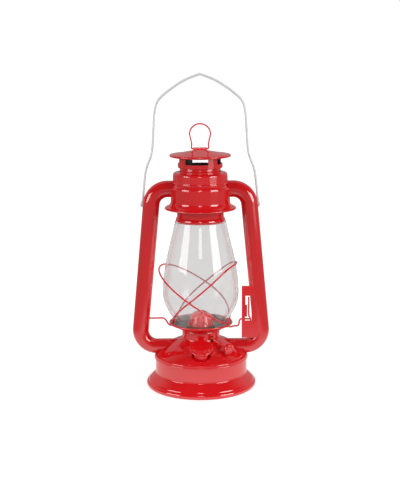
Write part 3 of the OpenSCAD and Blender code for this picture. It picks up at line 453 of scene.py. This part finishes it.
# Hood, upper shell: a drawn cup with a swaged bead above its joint, a rounded shoulder and a
# turned-up neck that the chimney slides in. Red enamel.
HOOD_TOP_R = 31.4
BEAD_Z = 240.6
hood_upper = spun("hood_upper", [(HOOD_TOP_R, 233.0), (HOOD_TOP_R, 239.4)]
                  + arc((HOOD_TOP_R - 0.55, BEAD_Z), 1.15, -62, 62, 12) + [(HOOD_TOP_R - 0.1, 241.8)]
                  + arc((28.3, 250.0), 2.6, 3, 90, 14) + [(24.84, 252.6)]
                  + arc((24.84, 253.2), 0.6, -90, -180, 6) + [(24.24, 254.0)])
hand_over(hood_upper, enamel, "frame", "red_enamel", "hood_upper")

# Burner cup, wick tube, wheels and bush: pressed and turned brass parts inside the collar. A slice
# of them shows through the glass below the cone, as yellow metal with a satin shine, browned by heat.
BRASS = "#b8924d"
BRASS_DULL = "#8f6c38"
STAIN = 6
brass, tree, shader, place = new_material("pressed_brass")
stain = add_node(tree, "ShaderNodeTexNoise", {"Scale": 1 / (STAIN * MM), "Detail": 4.0}, {"Vector": place})
patina = add_node(tree, "ShaderNodeMix",
                  {"data_type": "RGBA", MIX_A: linear(BRASS), MIX_B: linear(BRASS_DULL)},
                  {"Factor": stain.outputs["Fac"]})
satin = add_node(tree, "ShaderNodeMapRange", {"To Min": 0.22, "To Max": 0.4},
                 {"Value": stain.outputs["Fac"]})
tree.links.new(patina.outputs[MIXED], shader.inputs["Base Color"])
tree.links.new(satin.outputs["Result"], shader.inputs["Roughness"])
shader.inputs["Metallic"].default_value = 1.0
for name in ("burner_cup", "wick_tube", "shaft_bush", "wick_wheels"):
    paint_node(name, brass)

# Burner cone: a drawn cap over the burner with a slot for the flame, clipped on the cup so that it
# comes off for trimming the wick. Red enamel like the rest of this lantern.
CONE_SHEET = 0.6
CONE_WALL = [(14.7, 72.95), (14.4, 73.2), (14.15, 73.8), (11.75, 82.6), (11.4, 83.5), (11.0, 84.2),
             (10.5, 84.85)]
burner_cone = spun("burner_cone", CONE_WALL + arc((0, 75.59), 13.9, 44, 90, 16), CONE_SHEET, steps=96)
cut(burner_cone, block("flame_slot", (-8.1, -2.6, 83.8), (8.1, 2.6, 95), WICK_TURN))
hand_over(burner_cone, enamel, "frame", "red_enamel", "burner_cone")

# Wick: a flat strip of woven cotton that the wheels push up the wick tube. It is matt and off-white,
# and its weave just shows at the lit end. A wave texture repeats after 0.314 of a unit.
COTTON = "#ece5d2"
COTTON_SHADE = "#c9bfa6"
THREAD = 0.9
WAVE_REPEAT = 0.314
cotton, tree, shader, place = new_material("woven_cotton")
strip = add_node(tree, "ShaderNodeMapping", {"Rotation": (0, 0, -WICK_TURN)}, {"Vector": place})
warp = add_node(tree, "ShaderNodeTexWave", {"Scale": WAVE_REPEAT / (THREAD * MM), "bands_direction": "X"},
                {"Vector": strip.outputs["Vector"]})
weft = add_node(tree, "ShaderNodeTexWave", {"Scale": WAVE_REPEAT / (THREAD * MM), "bands_direction": "Z"},
                {"Vector": strip.outputs["Vector"]})
weave = add_node(tree, "ShaderNodeMath", {"operation": "MULTIPLY"},
                 {0: warp.outputs["Fac"], 1: weft.outputs["Fac"]})
yarn = add_node(tree, "ShaderNodeMix",
                {"data_type": "RGBA", MIX_A: linear(COTTON_SHADE), MIX_B: linear(COTTON)},
                {"Factor": weave.outputs["Value"]})
knit = add_node(tree, "ShaderNodeBump", {"Strength": 0.6, "Distance": 0.3 * MM},
                {"Height": weave.outputs["Value"]})
tree.links.new(yarn.outputs[MIXED], shader.inputs["Base Color"])
tree.links.new(knit.outputs["Normal"], shader.inputs["Normal"])
shader.inputs["Roughness"].default_value = 0.95
paint_node("wick", cotton)

# Wick shaft: a straight steel rod from the wheels out through the collar's slot, dipped in the red
# enamel with the lantern's other pieces.
paint_node("wick_shaft", enamel)

# Wick knob: a small pressed disc, notched round its edge for the fingers and embossed with petals
# on its face, riveted on the shaft. Red enamel.
SHAFT_FOOT = Vector((-3.274, -3.511, 67.35))
SHAFT_AXIS = Vector((0.69943, -0.65220, -0.29237))
KNOB = [(0, 45.5), (2.3, 45.5), (2.6, 45.8), (2.6, 46.6), (3.2, 46.9), (5.2, 46.9), (6.3, 47.4),
        (6.9, 48.2), (7.1, 49.1), (7.1, 50.3), (6.9, 51.2), (6.4, 51.9), (5.7, 52.3), (4.9, 52.5),
        (2.3, 52.7), (1.9, 53.1), (1.2, 53.3), (0, 53.3)]
wick_knob = spun("wick_knob", KNOB, 0, SHAFT_FOOT, SHAFT_AXIS, 96)


def press(piece, low, high, near, far, count, share, margin, depth):
    """Press groups of faces in or out, on a ring between two heights and radii on the knob."""
    across = SHAFT_AXIS.orthogonal().normalized()
    third = SHAFT_AXIS.cross(across)
    for face in piece.data.polygons:
        spot = face.center / MM - SHAFT_FOOT
        height = spot.dot(SHAFT_AXIS)
        side = Vector((spot.dot(across), spot.dot(third)))
        part = math.atan2(side.y, side.x) / math.tau * count % 1
        face.select = low < height < high and near < side.length < far and part < share
    bpy.ops.object.mode_set(mode="EDIT")
    bpy.ops.mesh.select_mode(type="FACE")
    bpy.ops.mesh.inset(thickness=margin * MM, depth=depth * MM)
    bpy.ops.mesh.select_all(action="DESELECT")
    bpy.ops.mesh.select_mode(type="VERT")
    bpy.ops.object.mode_set(mode="OBJECT")


press(wick_knob, 47.5, 51.7, 6.4, 7.3, count=12, share=0.5, margin=0.2, depth=-0.5)
press(wick_knob, 52.4, 52.8, 2.8, 4.6, count=6, share=0.62, margin=0.25, depth=0.6)
bpy.ops.object.shade_smooth_by_angle(angle=SMOOTH)
hand_over(wick_knob, enamel, "adjuster", "red_enamel", "wick_knob")

# Globe plate: a dished plate round the burner with a rolled rim, that the globe stands on. It lifts
# off the collar with the guard wires. Red enamel outside, bare tinned steel in the dish.
DISH_R = 34.5
globe_plate = spun("globe_plate", [(17.5, 68.35), (23.6, 68.35), (24.3, 68.5), (35.3, 74.7)]
                   + arc((36.15, 75.55), 0.7, -80, 190, 12))
hand_over(globe_plate, enamel, "globe_carrier", "red_enamel", "globe_plate")
globe_plate.data.materials.append(tinplate)
for face in globe_plate.data.polygons:
    if face.normal.z > 0.4 and face.center.xy.length < DISH_R * MM:
        face.material_index = 1

# Guard wires: two hoops of enamelled wire that follow the glass, each hooked down through two holes
# in the plate. The left one ends in the left tube's slot, the right one goes through the bracket and
# turns up as a finger pull.
WIRE_R, WIRE_GAP = 0.95, 0.9
HOOP_LOW_R, HOOP_LOW_Z = 32.55, 76.244
HOOP_OPEN, HOOP_BEND, HOOP_STEPS = 4.5, 12, 96
HOOP_DROP = [(4, 0.5), (1.2, -0.5), (0.2, -1.7), (0, -3), (0, -4.6)]
LEVER_Z, UNDER_Z, PLATE_R = 80.35, 72.15, 37.3
GLOBE_Z, GLOBE_H, GLOBE_T = 72.244, 123.7, 1.1
FOOT_R, BELLY_R, MOUTH_R = 30.0, 44.2, 29.6
NECK_H, BELLY_H = 4.4, 38.9


def glass_r(height):
    """Outer radius of the globe at a height over its foot."""
    if height < BELLY_H:
        part = max(0.0, height - NECK_H) / (BELLY_H - NECK_H)
        return FOOT_R + (BELLY_R - FOOT_R) * math.sin(math.pi / 2 * part)
    part = min(1.0, (height - BELLY_H) / (GLOBE_H - BELLY_H))
    return MOUTH_R + (BELLY_R - MOUTH_R) * max(0.0, math.cos(math.pi / 2 * part)) ** 1.2


def around(radius, degrees, height):
    """A point on a circle round the lantern's axis."""
    bearing = math.radians(degrees)
    return Vector((radius * math.cos(bearing), radius * math.sin(bearing), height))


def hoop(low, rise, out=0.0, stand=0.0, droop=0.0, swing=0.0, near=0.0):
    """Points of an inclined hoop round the glass, with its low end at a bearing in degrees.

    It stands off the glass by out at its sides and by stand at its high end. There it may also
    droop by a share of its rise, swing by some degrees and come near the glass.
    """
    points = [around(HOOP_LOW_R, low + HOOP_OPEN + a, HOOP_LOW_Z + z) for a, z in HOOP_DROP[::-1]]
    for i in range(HOOP_STEPS + 1):
        a = HOOP_BEND + (360 - 2 * HOOP_BEND) * i / HOOP_STEPS
        up = (1 - math.cos(math.radians(a))) / 2
        z = HOOP_LOW_Z + rise * (up - droop * up ** 10)
        gap = WIRE_GAP - near * up ** 6
        r = max(HOOP_LOW_R, glass_r(z - GLOBE_Z) + gap + WIRE_R + out * abs(math.sin(math.radians(a))))
        points.append(around(r + stand * max(0.0, 2 * up - 1) ** 1.5, low + a + swing * up ** 10, z))
    return points + [around(HOOP_LOW_R, low - HOOP_OPEN - a, HOOP_LOW_Z + z) for a, z in HOOP_DROP]


def smoothed(points, steps):
    """Points of a smooth curve through the given ones."""
    knots = [Vector(p) for p in points]
    knots = [knots[0]] + knots + [knots[-1]]
    curve = []
    for a, b, c, d in zip(knots, knots[1:], knots[2:], knots[3:]):
        for s in range(steps):
            u = s / steps
            curve.append(0.5 * (2 * b + (c - a) * u + (2 * a - 5 * b + 4 * c - d) * u * u
                                + (3 * b - a - 3 * c + d) * u ** 3))
    return curve + [knots[-1]]


left_tail = [(-62.69, 0, LEVER_Z), (-54.69, 0, LEVER_Z), (-PLATE_R - 8.5, 0.4, LEVER_Z),
             (-PLATE_R - 6.2, 0.8, LEVER_Z - 0.5), (-PLATE_R - 3.6, 1.2, LEVER_Z - 3.2),
             (-PLATE_R - 1.6, 1.5, UNDER_Z + 1.4), (-PLATE_R + 0.4, 1.8, UNDER_Z - 0.4),
             (-HOOP_LOW_R - 1.8, 2, UNDER_Z - 1.3)]
right_tail = [(55.286, -12.55, LEVER_Z + 27.5), (55.686, -11.35, LEVER_Z + 24.5),
              (55.686, -11.35, LEVER_Z + 7), (57.286, -11.35, LEVER_Z + 3),
              (57.886, -10.95, LEVER_Z + 0.6), (57.886, -9.55, LEVER_Z),
              (57.886, -6.55, LEVER_Z), (56.886, -5.75, LEVER_Z), (53.886, -5.55, LEVER_Z),
              (PLATE_R + 10.1, -5.55, LEVER_Z), (PLATE_R + 8, -5.75, LEVER_Z - 1.6),
              (PLATE_R + 6.9, -5.95, UNDER_Z + 1.6), (PLATE_R + 5, -5.95, UNDER_Z),
              (PLATE_R + 1.6, -5.95, UNDER_Z - 0.1), (HOOP_LOW_R + 2.4, -5.95, UNDER_Z - 1.2)]
left_hoop = hoop(172, 77, droop=0.08, swing=-8, near=0.6)
guard_left = swept("guard_wire_left", smoothed(left_tail + left_hoop, 4), WIRE_R)
hand_over(guard_left, enamel, "globe_carrier", "red_enamel", "guard_wire_left")
right_hoop = hoop(-15, 65, out=2.4, stand=4.5)
guard_right = swept("guard_wire_right", smoothed(right_tail + right_hoop, 4), WIRE_R)
hand_over(guard_right, enamel, "globe_carrier", "red_enamel", "guard_wire_right")

# Globe: a clear blown glass chimney with a round belly and fire-polished rims. It stands on the
# plate and carries the crown.
RIM_HALF = GLOBE_T / 2
GLOBE_STEPS = [RIM_HALF] + [NECK_H + (BELLY_H - NECK_H) * i / 24 for i in range(25)]
GLOBE_STEPS += [BELLY_H + (GLOBE_H - RIM_HALF - BELLY_H) * i / 32 for i in range(1, 33)]
outside = [(glass_r(h), h) for h in GLOBE_STEPS]
inside = [(r - GLOBE_T, h) for r, h in outside[::-1]]
mouth = (outside[-1][0] - RIM_HALF, GLOBE_H - RIM_HALF)
globe_section = (outside + arc(mouth, RIM_HALF, 0, 180, 8)[1:-1] + inside
                 + arc((FOOT_R - RIM_HALF, RIM_HALF), RIM_HALF, 180, 360, 8)[1:])
globe = spun("globe", [(r, GLOBE_Z + h) for r, h in globe_section], 0, steps=160)

# Blown soda glass: clear with a breath of grey, and slow waves left by the mould. It casts no shadow,
# so that the burner inside is lit.
GLASS = "#e6e5e5"
WAVE = 16
glass, tree, shader, place = new_material("blown_soda_glass")
ripple = add_node(tree, "ShaderNodeTexNoise", {"Scale": 1 / (WAVE * MM), "Detail": 1.0}, {"Vector": place})
waves = add_node(tree, "ShaderNodeBump", {"Strength": 0.05, "Distance": 0.3 * MM},
                 {"Height": ripple.outputs["Fac"]})
tree.links.new(waves.outputs["Normal"], shader.inputs["Normal"])
shader.inputs["Base Color"].default_value = linear(GLASS)
shader.inputs["Roughness"].default_value = 0.0
shader.inputs["IOR"].default_value = 1.5
shader.inputs["Specular IOR Level"].default_value = 0.28
shader.inputs["Transmission Weight"].default_value = 0.95
hand_over(globe, glass, "globe_carrier", "globe_glass", "globe")
globe.visible_shadow = False

# Globe crown: a pressed sleeve with a conical band that sits on the globe's mouth and carries the
# chimney. Red enamel outside. Inside it is painted shade: near black, patchy with a lighter brown black.
SHADE_DARK = "#171413"
SHADE_LESS_DARK = "#2e2825"
SHADE_PATCH = 7
painted_shade, tree, shader, place = new_material("painted_shade_inside")
shade_patches = add_node(tree, "ShaderNodeTexNoise", {"Scale": 1 / (SHADE_PATCH * MM), "Detail": 4.0},
                 {"Vector": place})
shade_tone = add_node(tree, "ShaderNodeMix",
                {"data_type": "RGBA", MIX_A: linear(SHADE_DARK), MIX_B: linear(SHADE_LESS_DARK)},
                {"Factor": shade_patches.outputs["Fac"]})
tree.links.new(shade_tone.outputs[MIXED], shader.inputs["Base Color"])
shader.inputs["Roughness"].default_value = 0.4


def paint_shade_inside(piece, low=0.0):
    """Paint the faces over a height that look towards the lantern's axis near black, as painted shade."""
    piece.data.materials.append(painted_shade)
    for face in piece.data.polygons:
        if face.normal.xy.dot(face.center.xy.normalized()) < -0.5 and face.center.z > low * MM:
            face.material_index = 1


CROWN_R = 26.6
SHADED_FROM = 199.5
globe_crown = spun("globe_crown", [(CROWN_R, 195.4), (CROWN_R, 196.2), (27.6, 196.35)]
                   + bow((28.2, 196.8), (27.5, 200.1), 0.3, 10)
                   + [(27.0, 200.6), (CROWN_R, 200.9), (CROWN_R, 208.6)]
                   + arc((25.6, 208.74), 1.0, 0, 90, 6) + [(23.2, 209.744)])
hand_over(globe_crown, enamel, "chimney", "red_enamel", "globe_crown")
paint_shade_inside(globe_crown, SHADED_FROM)

# Chimney tube: a rolled tube in the crown that slides through the hood and carries the vents and
# the cap, with a small bead over the hood. Red enamel outside, painted shade inside in near black.
CHIMNEY_R = 22.7
chimney_tube = spun("chimney_tube", [(CHIMNEY_R, 207.7), (CHIMNEY_R, 254.6)]
                    + arc((21.9, 255.9), 1.25, -45, 45, 8)
                    + [(CHIMNEY_R, 257.2), (CHIMNEY_R, 259.5)])
hand_over(chimney_tube, enamel, "chimney", "red_enamel", "chimney_tube")
paint_shade_inside(chimney_tube)

# Chimney spring: a light coil of zinc-coated wire round the chimney inside the hood, that holds the
# crown down. It is split at mid-height: the lower half moves with the globe carrier, the upper stays on the
# frame.
SPRING_R, SPRING_WIRE, SPRING_TURNS, TURN_STEPS = 25.05, 0.6, 4, 40
SPRING_LOW, SPRING_MID, SPRING_HIGH = 211.044, 228.6, 250.2

# Zinc coat on drawn wire: a pale grey metal with a soft sheen and a faint crystal pattern, drawn
# coarser than it is so that it shows.
ZINC = "#f0f0f0"
ZINC_DULL = "#ebecec"
SPANGLE = 2.5
zinc, tree, shader, place = new_material("zinc_coated_wire")
spangle = add_node(tree, "ShaderNodeTexVoronoi", {"Scale": 1 / (SPANGLE * MM)}, {"Vector": place})
shine = add_node(tree, "ShaderNodeMix",
                 {"data_type": "RGBA", MIX_A: linear(ZINC), MIX_B: linear(ZINC_DULL)},
                 {"Factor": spangle.outputs["Distance"]})
frost = add_node(tree, "ShaderNodeMapRange", {"To Min": 0.45, "To Max": 0.5},
                 {"Value": spangle.outputs["Distance"]})
tree.links.new(shine.outputs[MIXED], shader.inputs["Base Color"])
tree.links.new(frost.outputs["Result"], shader.inputs["Roughness"])
shader.inputs["Metallic"].default_value = 0.2


def coil(name, low, high, first):
    """Wind the stretch of the spring between two heights, from an angle in turns."""
    turns = SPRING_TURNS * (high - low) / (SPRING_HIGH - SPRING_LOW)
    steps = round(TURN_STEPS * turns)
    turn = [math.tau * (first + turns * i / steps) for i in range(steps + 1)]
    return swept(name, [(SPRING_R * math.cos(a), SPRING_R * math.sin(a), low + (high - low) * i / steps)
                        for i, a in enumerate(turn)], SPRING_WIRE, 3)


lower_turns = SPRING_TURNS * (SPRING_MID - SPRING_LOW) / (SPRING_HIGH - SPRING_LOW)
spring_low = coil("chimney_spring_lower", SPRING_LOW, SPRING_MID, 0)
hand_over(spring_low, zinc, "globe_carrier", "zinc_wire", "chimney_spring")
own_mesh(spring_low)
spring_high = coil("chimney_spring_upper", SPRING_MID, SPRING_HIGH, lower_turns)
hand_over(spring_high, zinc, "frame", "zinc_wire", "chimney_spring")
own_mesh(spring_high)

# Vent band: a rolled ring with four long slots, the rear one deeper, pressed on the chimney under the
# cap. Smoke leaves through it. Red enamel outside, painted shade inside in near black.
VENT_R = 25.3
SLOT_LOW, SLOT_HIGH, REAR_LOW = 263.2, 269.444, 261.0
SLOT_FIRST, SLOT_SPAN = -131, 62
vent_band = spun("vent_band", [(23.3, 258.444), (24.8, 258.444), (VENT_R, 258.9), (VENT_R, REAR_LOW),
                               (VENT_R, SLOT_LOW), (VENT_R, SLOT_HIGH), (VENT_R, 272.9)], 0, steps=360)
for face in vent_band.data.polygons:
    angle = math.degrees(math.atan2(face.center.y, face.center.x))
    low = REAR_LOW if face.center.y > abs(face.center.x) else SLOT_LOW
    face.select = low < face.center.z / MM < SLOT_HIGH and (angle - SLOT_FIRST) % 90 < SLOT_SPAN
bpy.ops.object.mode_set(mode="EDIT")
bpy.ops.mesh.select_mode(type="FACE")
bpy.ops.mesh.delete(type="FACE")
bpy.ops.mesh.select_mode(type="VERT")
bpy.ops.object.mode_set(mode="OBJECT")
thicken(vent_band, SHEET)
bpy.ops.object.shade_smooth_by_angle(angle=SMOOTH)
hand_over(vent_band, enamel, "chimney", "red_enamel", "vent_band")
paint_shade_inside(vent_band)

# Cap: a shallow pressed cone with a flat crown and a rolled rim, soldered on the vent band. Red
# enamel on top, painted shade in near black underneath over the chimney.
cap = spun("cap", [(0, 277.444), (5, 277.444), (8.6, 277.4), (9.6, 277.2), (32.2, 272.95)]
           + arc((33.9, 272.1), 1.0, 100, -190, 16))
hand_over(cap, enamel, "chimney", "red_enamel", "cap")
# The faces under the cap over the chimney get the near-black painted shade.
cap.data.materials.append(painted_shade)
for face in cap.data.polygons:
    if face.normal.z < -0.5 and face.center.xy.length < VENT_R * MM:
        face.material_index = 1

# Ring strap: a strip of sheet bent over the ring's foot into a knuckle, its two feet soldered flat
# on the cap. Red enamel.
RING_Z = 279.554
STRAP_HALF, STRAP_SHEET = 8.0, 0.55
FOOT_Z = 278.25
strap_foot = [(4.0, FOOT_Z), (2.2, FOOT_Z), (1.7, FOOT_Z + 0.25), (1.4, RING_Z - 0.4)]
strap_section = ([(-y, z) for y, z in strap_foot] + arc((0, RING_Z), 1.32, 170, 10, 14)
                 + strap_foot[::-1])
ring_strap = drawn_line("ring_strap", [(-STRAP_HALF, y, z) for y, z in strap_section])
bpy.ops.object.mode_set(mode="EDIT")
bpy.ops.mesh.select_all(action="SELECT")
bpy.ops.mesh.extrude_region_move(TRANSFORM_OT_translate={"value": (2 * STRAP_HALF * MM, 0, 0)})
bpy.ops.object.mode_set(mode="OBJECT")
clean(ring_strap)
thicken(ring_strap, STRAP_SHEET)
bpy.ops.object.shade_smooth_by_angle(angle=SMOOTH)
hand_over(ring_strap, enamel, "chimney", "red_enamel", "ring_strap")

# Lift ring: a wire bow on a straight foot that turns in the strap's knuckle, for lifting the chimney
# off the globe. Red enamel.
RING_WIRE, RING_HALF, RING_FOOT, RING_BEND = 0.85, 12.0, 9.9, 1.6
BOW_Z = 16.55


def both_sides(half, height):
    """Mirror the right half of a bent wire, given from foot to top, and lift it to its height."""
    return ([(-x, 0, height + z) for x, z in half]
            + [(x, 0, height + z) for x, z in half[-2::-1]])


def foot_bend(reach, radius):
    """Points of the bend where a wire turns up out of its pivot."""
    return arc((reach - radius, radius), radius, -90, 0, 6)


ring_side = smoothed([(RING_FOOT, RING_BEND + 0.2), (9.7, 3.6), (9.65, 6.6), (10.8, 11.8)]
                     + arc((0, BOW_Z), RING_HALF, 0, 90, 12), 3)
ring_half = ([(RING_FOOT - RING_BEND - 1, 0)] + foot_bend(RING_FOOT, RING_BEND)
             + [(p[0], p[1]) for p in ring_side])
lift_ring = swept("lift_ring", both_sides(ring_half, RING_Z), RING_WIRE, 5, closed=True)
hand_over(lift_ring, enamel, "ring", "red_enamel", "lift_ring")

# Bail: a handle of zinc-coated steel wire with a pointed top, that narrows past the hood and hooks
# into the eyelets. It is the one bright piece of the lantern.
BAIL_R, BAIL_H, GRIP, BAIL_FOOT, BAIL_BEND, PIN_IN = 1.3, 150.7, 52.0, 68.0, 1.7, 4.3
FLARE = BAIL_FOOT - GRIP
bail_side = smoothed([(BAIL_FOOT, BAIL_BEND + 2), (GRIP + 0.9 * FLARE, 0.05 * BAIL_H),
                      (GRIP + 0.72 * FLARE, 0.22 * BAIL_H), (GRIP + 0.58 * FLARE, 0.3 * BAIL_H),
                      (GRIP + 0.26 * FLARE, 0.388 * BAIL_H), (GRIP + 0.14 * FLARE, 0.466 * BAIL_H),
                      (GRIP + 0.05 * FLARE, 0.61 * BAIL_H), (0.99 * GRIP, 0.72 * BAIL_H),
                      (0.92 * GRIP, 0.798 * BAIL_H), (0.73 * GRIP, 0.864 * BAIL_H),
                      (0.36 * GRIP, 0.95 * BAIL_H), (0, BAIL_H)], 6)
bail_half = ([(BAIL_FOOT - BAIL_BEND - PIN_IN, 0)] + foot_bend(BAIL_FOOT, BAIL_BEND)
             + [(p[0], p[1]) for p in bail_side])
bail = swept("bail", both_sides(bail_half, PIVOT_Z), BAIL_R, 5)
hand_over(bail, zinc, "bail", "zinc_wire", "bail")

# Studio: a white table that keeps a faint shadow, two soft panels in front at the sides, a dim one low
# on the right, a narrow one between camera and lantern, and a white room. What the lantern sees of the
# table is painted light: it glows by itself, brightest round the lantern and fading outwards.
TABLE = "#888888"
TABLE_SIZE = 12
bpy.ops.object.select_all(action="DESELECT")
bpy.ops.mesh.primitive_plane_add(size=TABLE_SIZE)
table = bpy.context.object
table.name = "table"
paper, tree, shader, place = new_material("white_paper")
shader.inputs["Base Color"].default_value = linear(TABLE)
shader.inputs["Roughness"].default_value = 1.0
shader.inputs["Specular IOR Level"].default_value = 0.0
ray = add_node(tree, "ShaderNodeLightPath")
seen = add_node(tree, "ShaderNodeMath", {"operation": "MAXIMUM"},
                {0: ray.outputs["Is Camera Ray"], 1: ray.outputs["Is Transmission Ray"]})
far = add_node(tree, "ShaderNodeVectorMath", {"operation": "LENGTH"}, {0: place})
# Painted light: for the lantern's own rays the table only glows, brightest near the foot, fading further
# out.
painted_glow_falloff = add_node(tree, "ShaderNodeMapRange",
                  {"From Min": 0.13, "From Max": 0.34, "To Min": 0.87, "To Max": 0.25},
                  {"Value": far.outputs["Value"]})
sweep = add_node(tree, "ShaderNodeMapRange",
                 {"From Min": 0.12, "From Max": 0.5, "To Min": 0.86, "To Max": 1.0},
                 {"Value": far.outputs["Value"]})
painted_glow = add_node(tree, "ShaderNodeEmission", None, {"Strength": painted_glow_falloff.outputs["Result"]})
glow = add_node(tree, "ShaderNodeEmission", None, {"Strength": sweep.outputs["Result"]})
on_view = add_node(tree, "ShaderNodeAddShader", None,
                   {0: shader.outputs["BSDF"], 1: glow.outputs["Emission"]})
choice = add_node(tree, "ShaderNodeMixShader", None,
                  {"Fac": seen.outputs["Value"], 1: painted_glow.outputs["Emission"],
                   2: on_view.outputs["Shader"]})
tree.links.new(choice.outputs["Shader"], tree.nodes["Material Output"].inputs["Surface"])
table.data.materials.append(paper)

PANELS = [("left_panel", -61, 1.6, 0.85, 0.26, 1.01, 8.0),
          ("right_panel", 56, 1.6, 0.85, 0.26, 1.01, 11.0),
          ("right_skirt", 56, 1.6, 0.85, 0.04, 0.25, 0.45),
          ("front_panel", -1, 0.7, 0.15, 0.33, 0.6, 0.45)]
for name, azimuth, reach, width, low, high, power in PANELS:
    bearing = math.radians(azimuth)
    spot = Vector((reach * math.sin(bearing), -reach * math.cos(bearing), (low + high) / 2))
    bpy.ops.object.light_add(type="AREA", location=spot)
    panel = bpy.context.object
    panel.name = name
    panel.rotation_euler = (Vector((0, 0, spot.z)) - spot).to_track_quat("-Z", "Y").to_euler()
    panel.data.shape = "RECTANGLE"
    panel.data.size = width
    panel.data.size_y = high - low
    panel.data.energy = power
    panel.visible_camera = False

# A flag keeps the front panel's light off the tubes.
flag = bpy.data.collections.new("flag")
bpy.data.objects["front_panel"].light_linking.receiver_collection = flag
for tube in (left_tube, right_tube):
    flag.objects.link(tube)
for shaded in flag.collection_objects:
    shaded.light_linking.link_state = "EXCLUDE"

# White room: plain white to the eye and through the glass, a soft light from above for the surfaces,
# and a pale band at the horizon and behind the lantern in what the enamel mirrors.
world = bpy.data.worlds.new("white_room")
bpy.context.scene.world = world
world.use_nodes = True
tree = world.node_tree
ray = add_node(tree, "ShaderNodeLightPath")
way = add_node(tree, "ShaderNodeTexCoord")
look = add_node(tree, "ShaderNodeSeparateXYZ", None, {"Vector": way.outputs["Generated"]})
fade = add_node(tree, "ShaderNodeMapRange",
                {"From Min": 0.0, "From Max": 0.25, "To Min": 0.3, "To Max": 0.04},
                {"Value": look.outputs["Z"]})
behind = add_node(tree, "ShaderNodeMapRange",
                  {"From Min": 0.0, "From Max": 0.5, "To Min": 0.0, "To Max": 0.4},
                  {"Value": look.outputs["Y"]})
sheen = add_node(tree, "ShaderNodeMath", {"operation": "MAXIMUM"},
                 {0: fade.outputs["Result"], 1: behind.outputs["Result"]})
white = add_node(tree, "ShaderNodeBackground", {"Color": (1, 1, 1, 1), "Strength": 1.0})
mirrored = add_node(tree, "ShaderNodeBackground", {"Color": (1, 1, 1, 1)},
                    {"Strength": sheen.outputs["Value"]})
overhead = add_node(tree, "ShaderNodeMapRange",
                    {"From Min": 0.0, "From Max": 1.0, "To Min": 0.25, "To Max": 0.65},
                    {"Value": look.outputs["Z"]})
fill = add_node(tree, "ShaderNodeBackground", {"Color": (1, 1, 1, 1)},
                {"Strength": overhead.outputs["Result"]})
lit = add_node(tree, "ShaderNodeMixShader", None,
               {"Fac": ray.outputs["Is Glossy Ray"], 1: fill.outputs["Background"],
                2: mirrored.outputs["Background"]})
straight = add_node(tree, "ShaderNodeMath", {"operation": "MAXIMUM"},
                    {0: ray.outputs["Is Camera Ray"], 1: ray.outputs["Is Transmission Ray"]})
room = add_node(tree, "ShaderNodeMixShader", None,
                {"Fac": straight.outputs["Value"], 1: lit.outputs["Shader"],
                 2: white.outputs["Background"]})
tree.links.new(room.outputs["Shader"], tree.nodes["World Output"].inputs["Surface"])

# Camera: a little above the cap's height, looking down on the lantern, as the photograph was taken.
CAMERA_AT = (-0.00065, -1.222, 0.402)
PITCH, ROLL = math.radians(10.83), math.radians(-0.28)
FOCAL_PIXELS, PHOTO_PIXELS, SENSOR = 1071, 489, 36
bpy.ops.object.camera_add(location=CAMERA_AT)
camera = bpy.context.object
aim = Matrix.Rotation(math.pi / 2 - PITCH, 3, "X") @ Matrix.Rotation(ROLL, 3, "Z")
camera.rotation_euler = aim.to_euler()
camera.data.lens = FOCAL_PIXELS / PHOTO_PIXELS * SENSOR
camera.data.clip_start = 0.05
bpy.context.scene.camera = camera
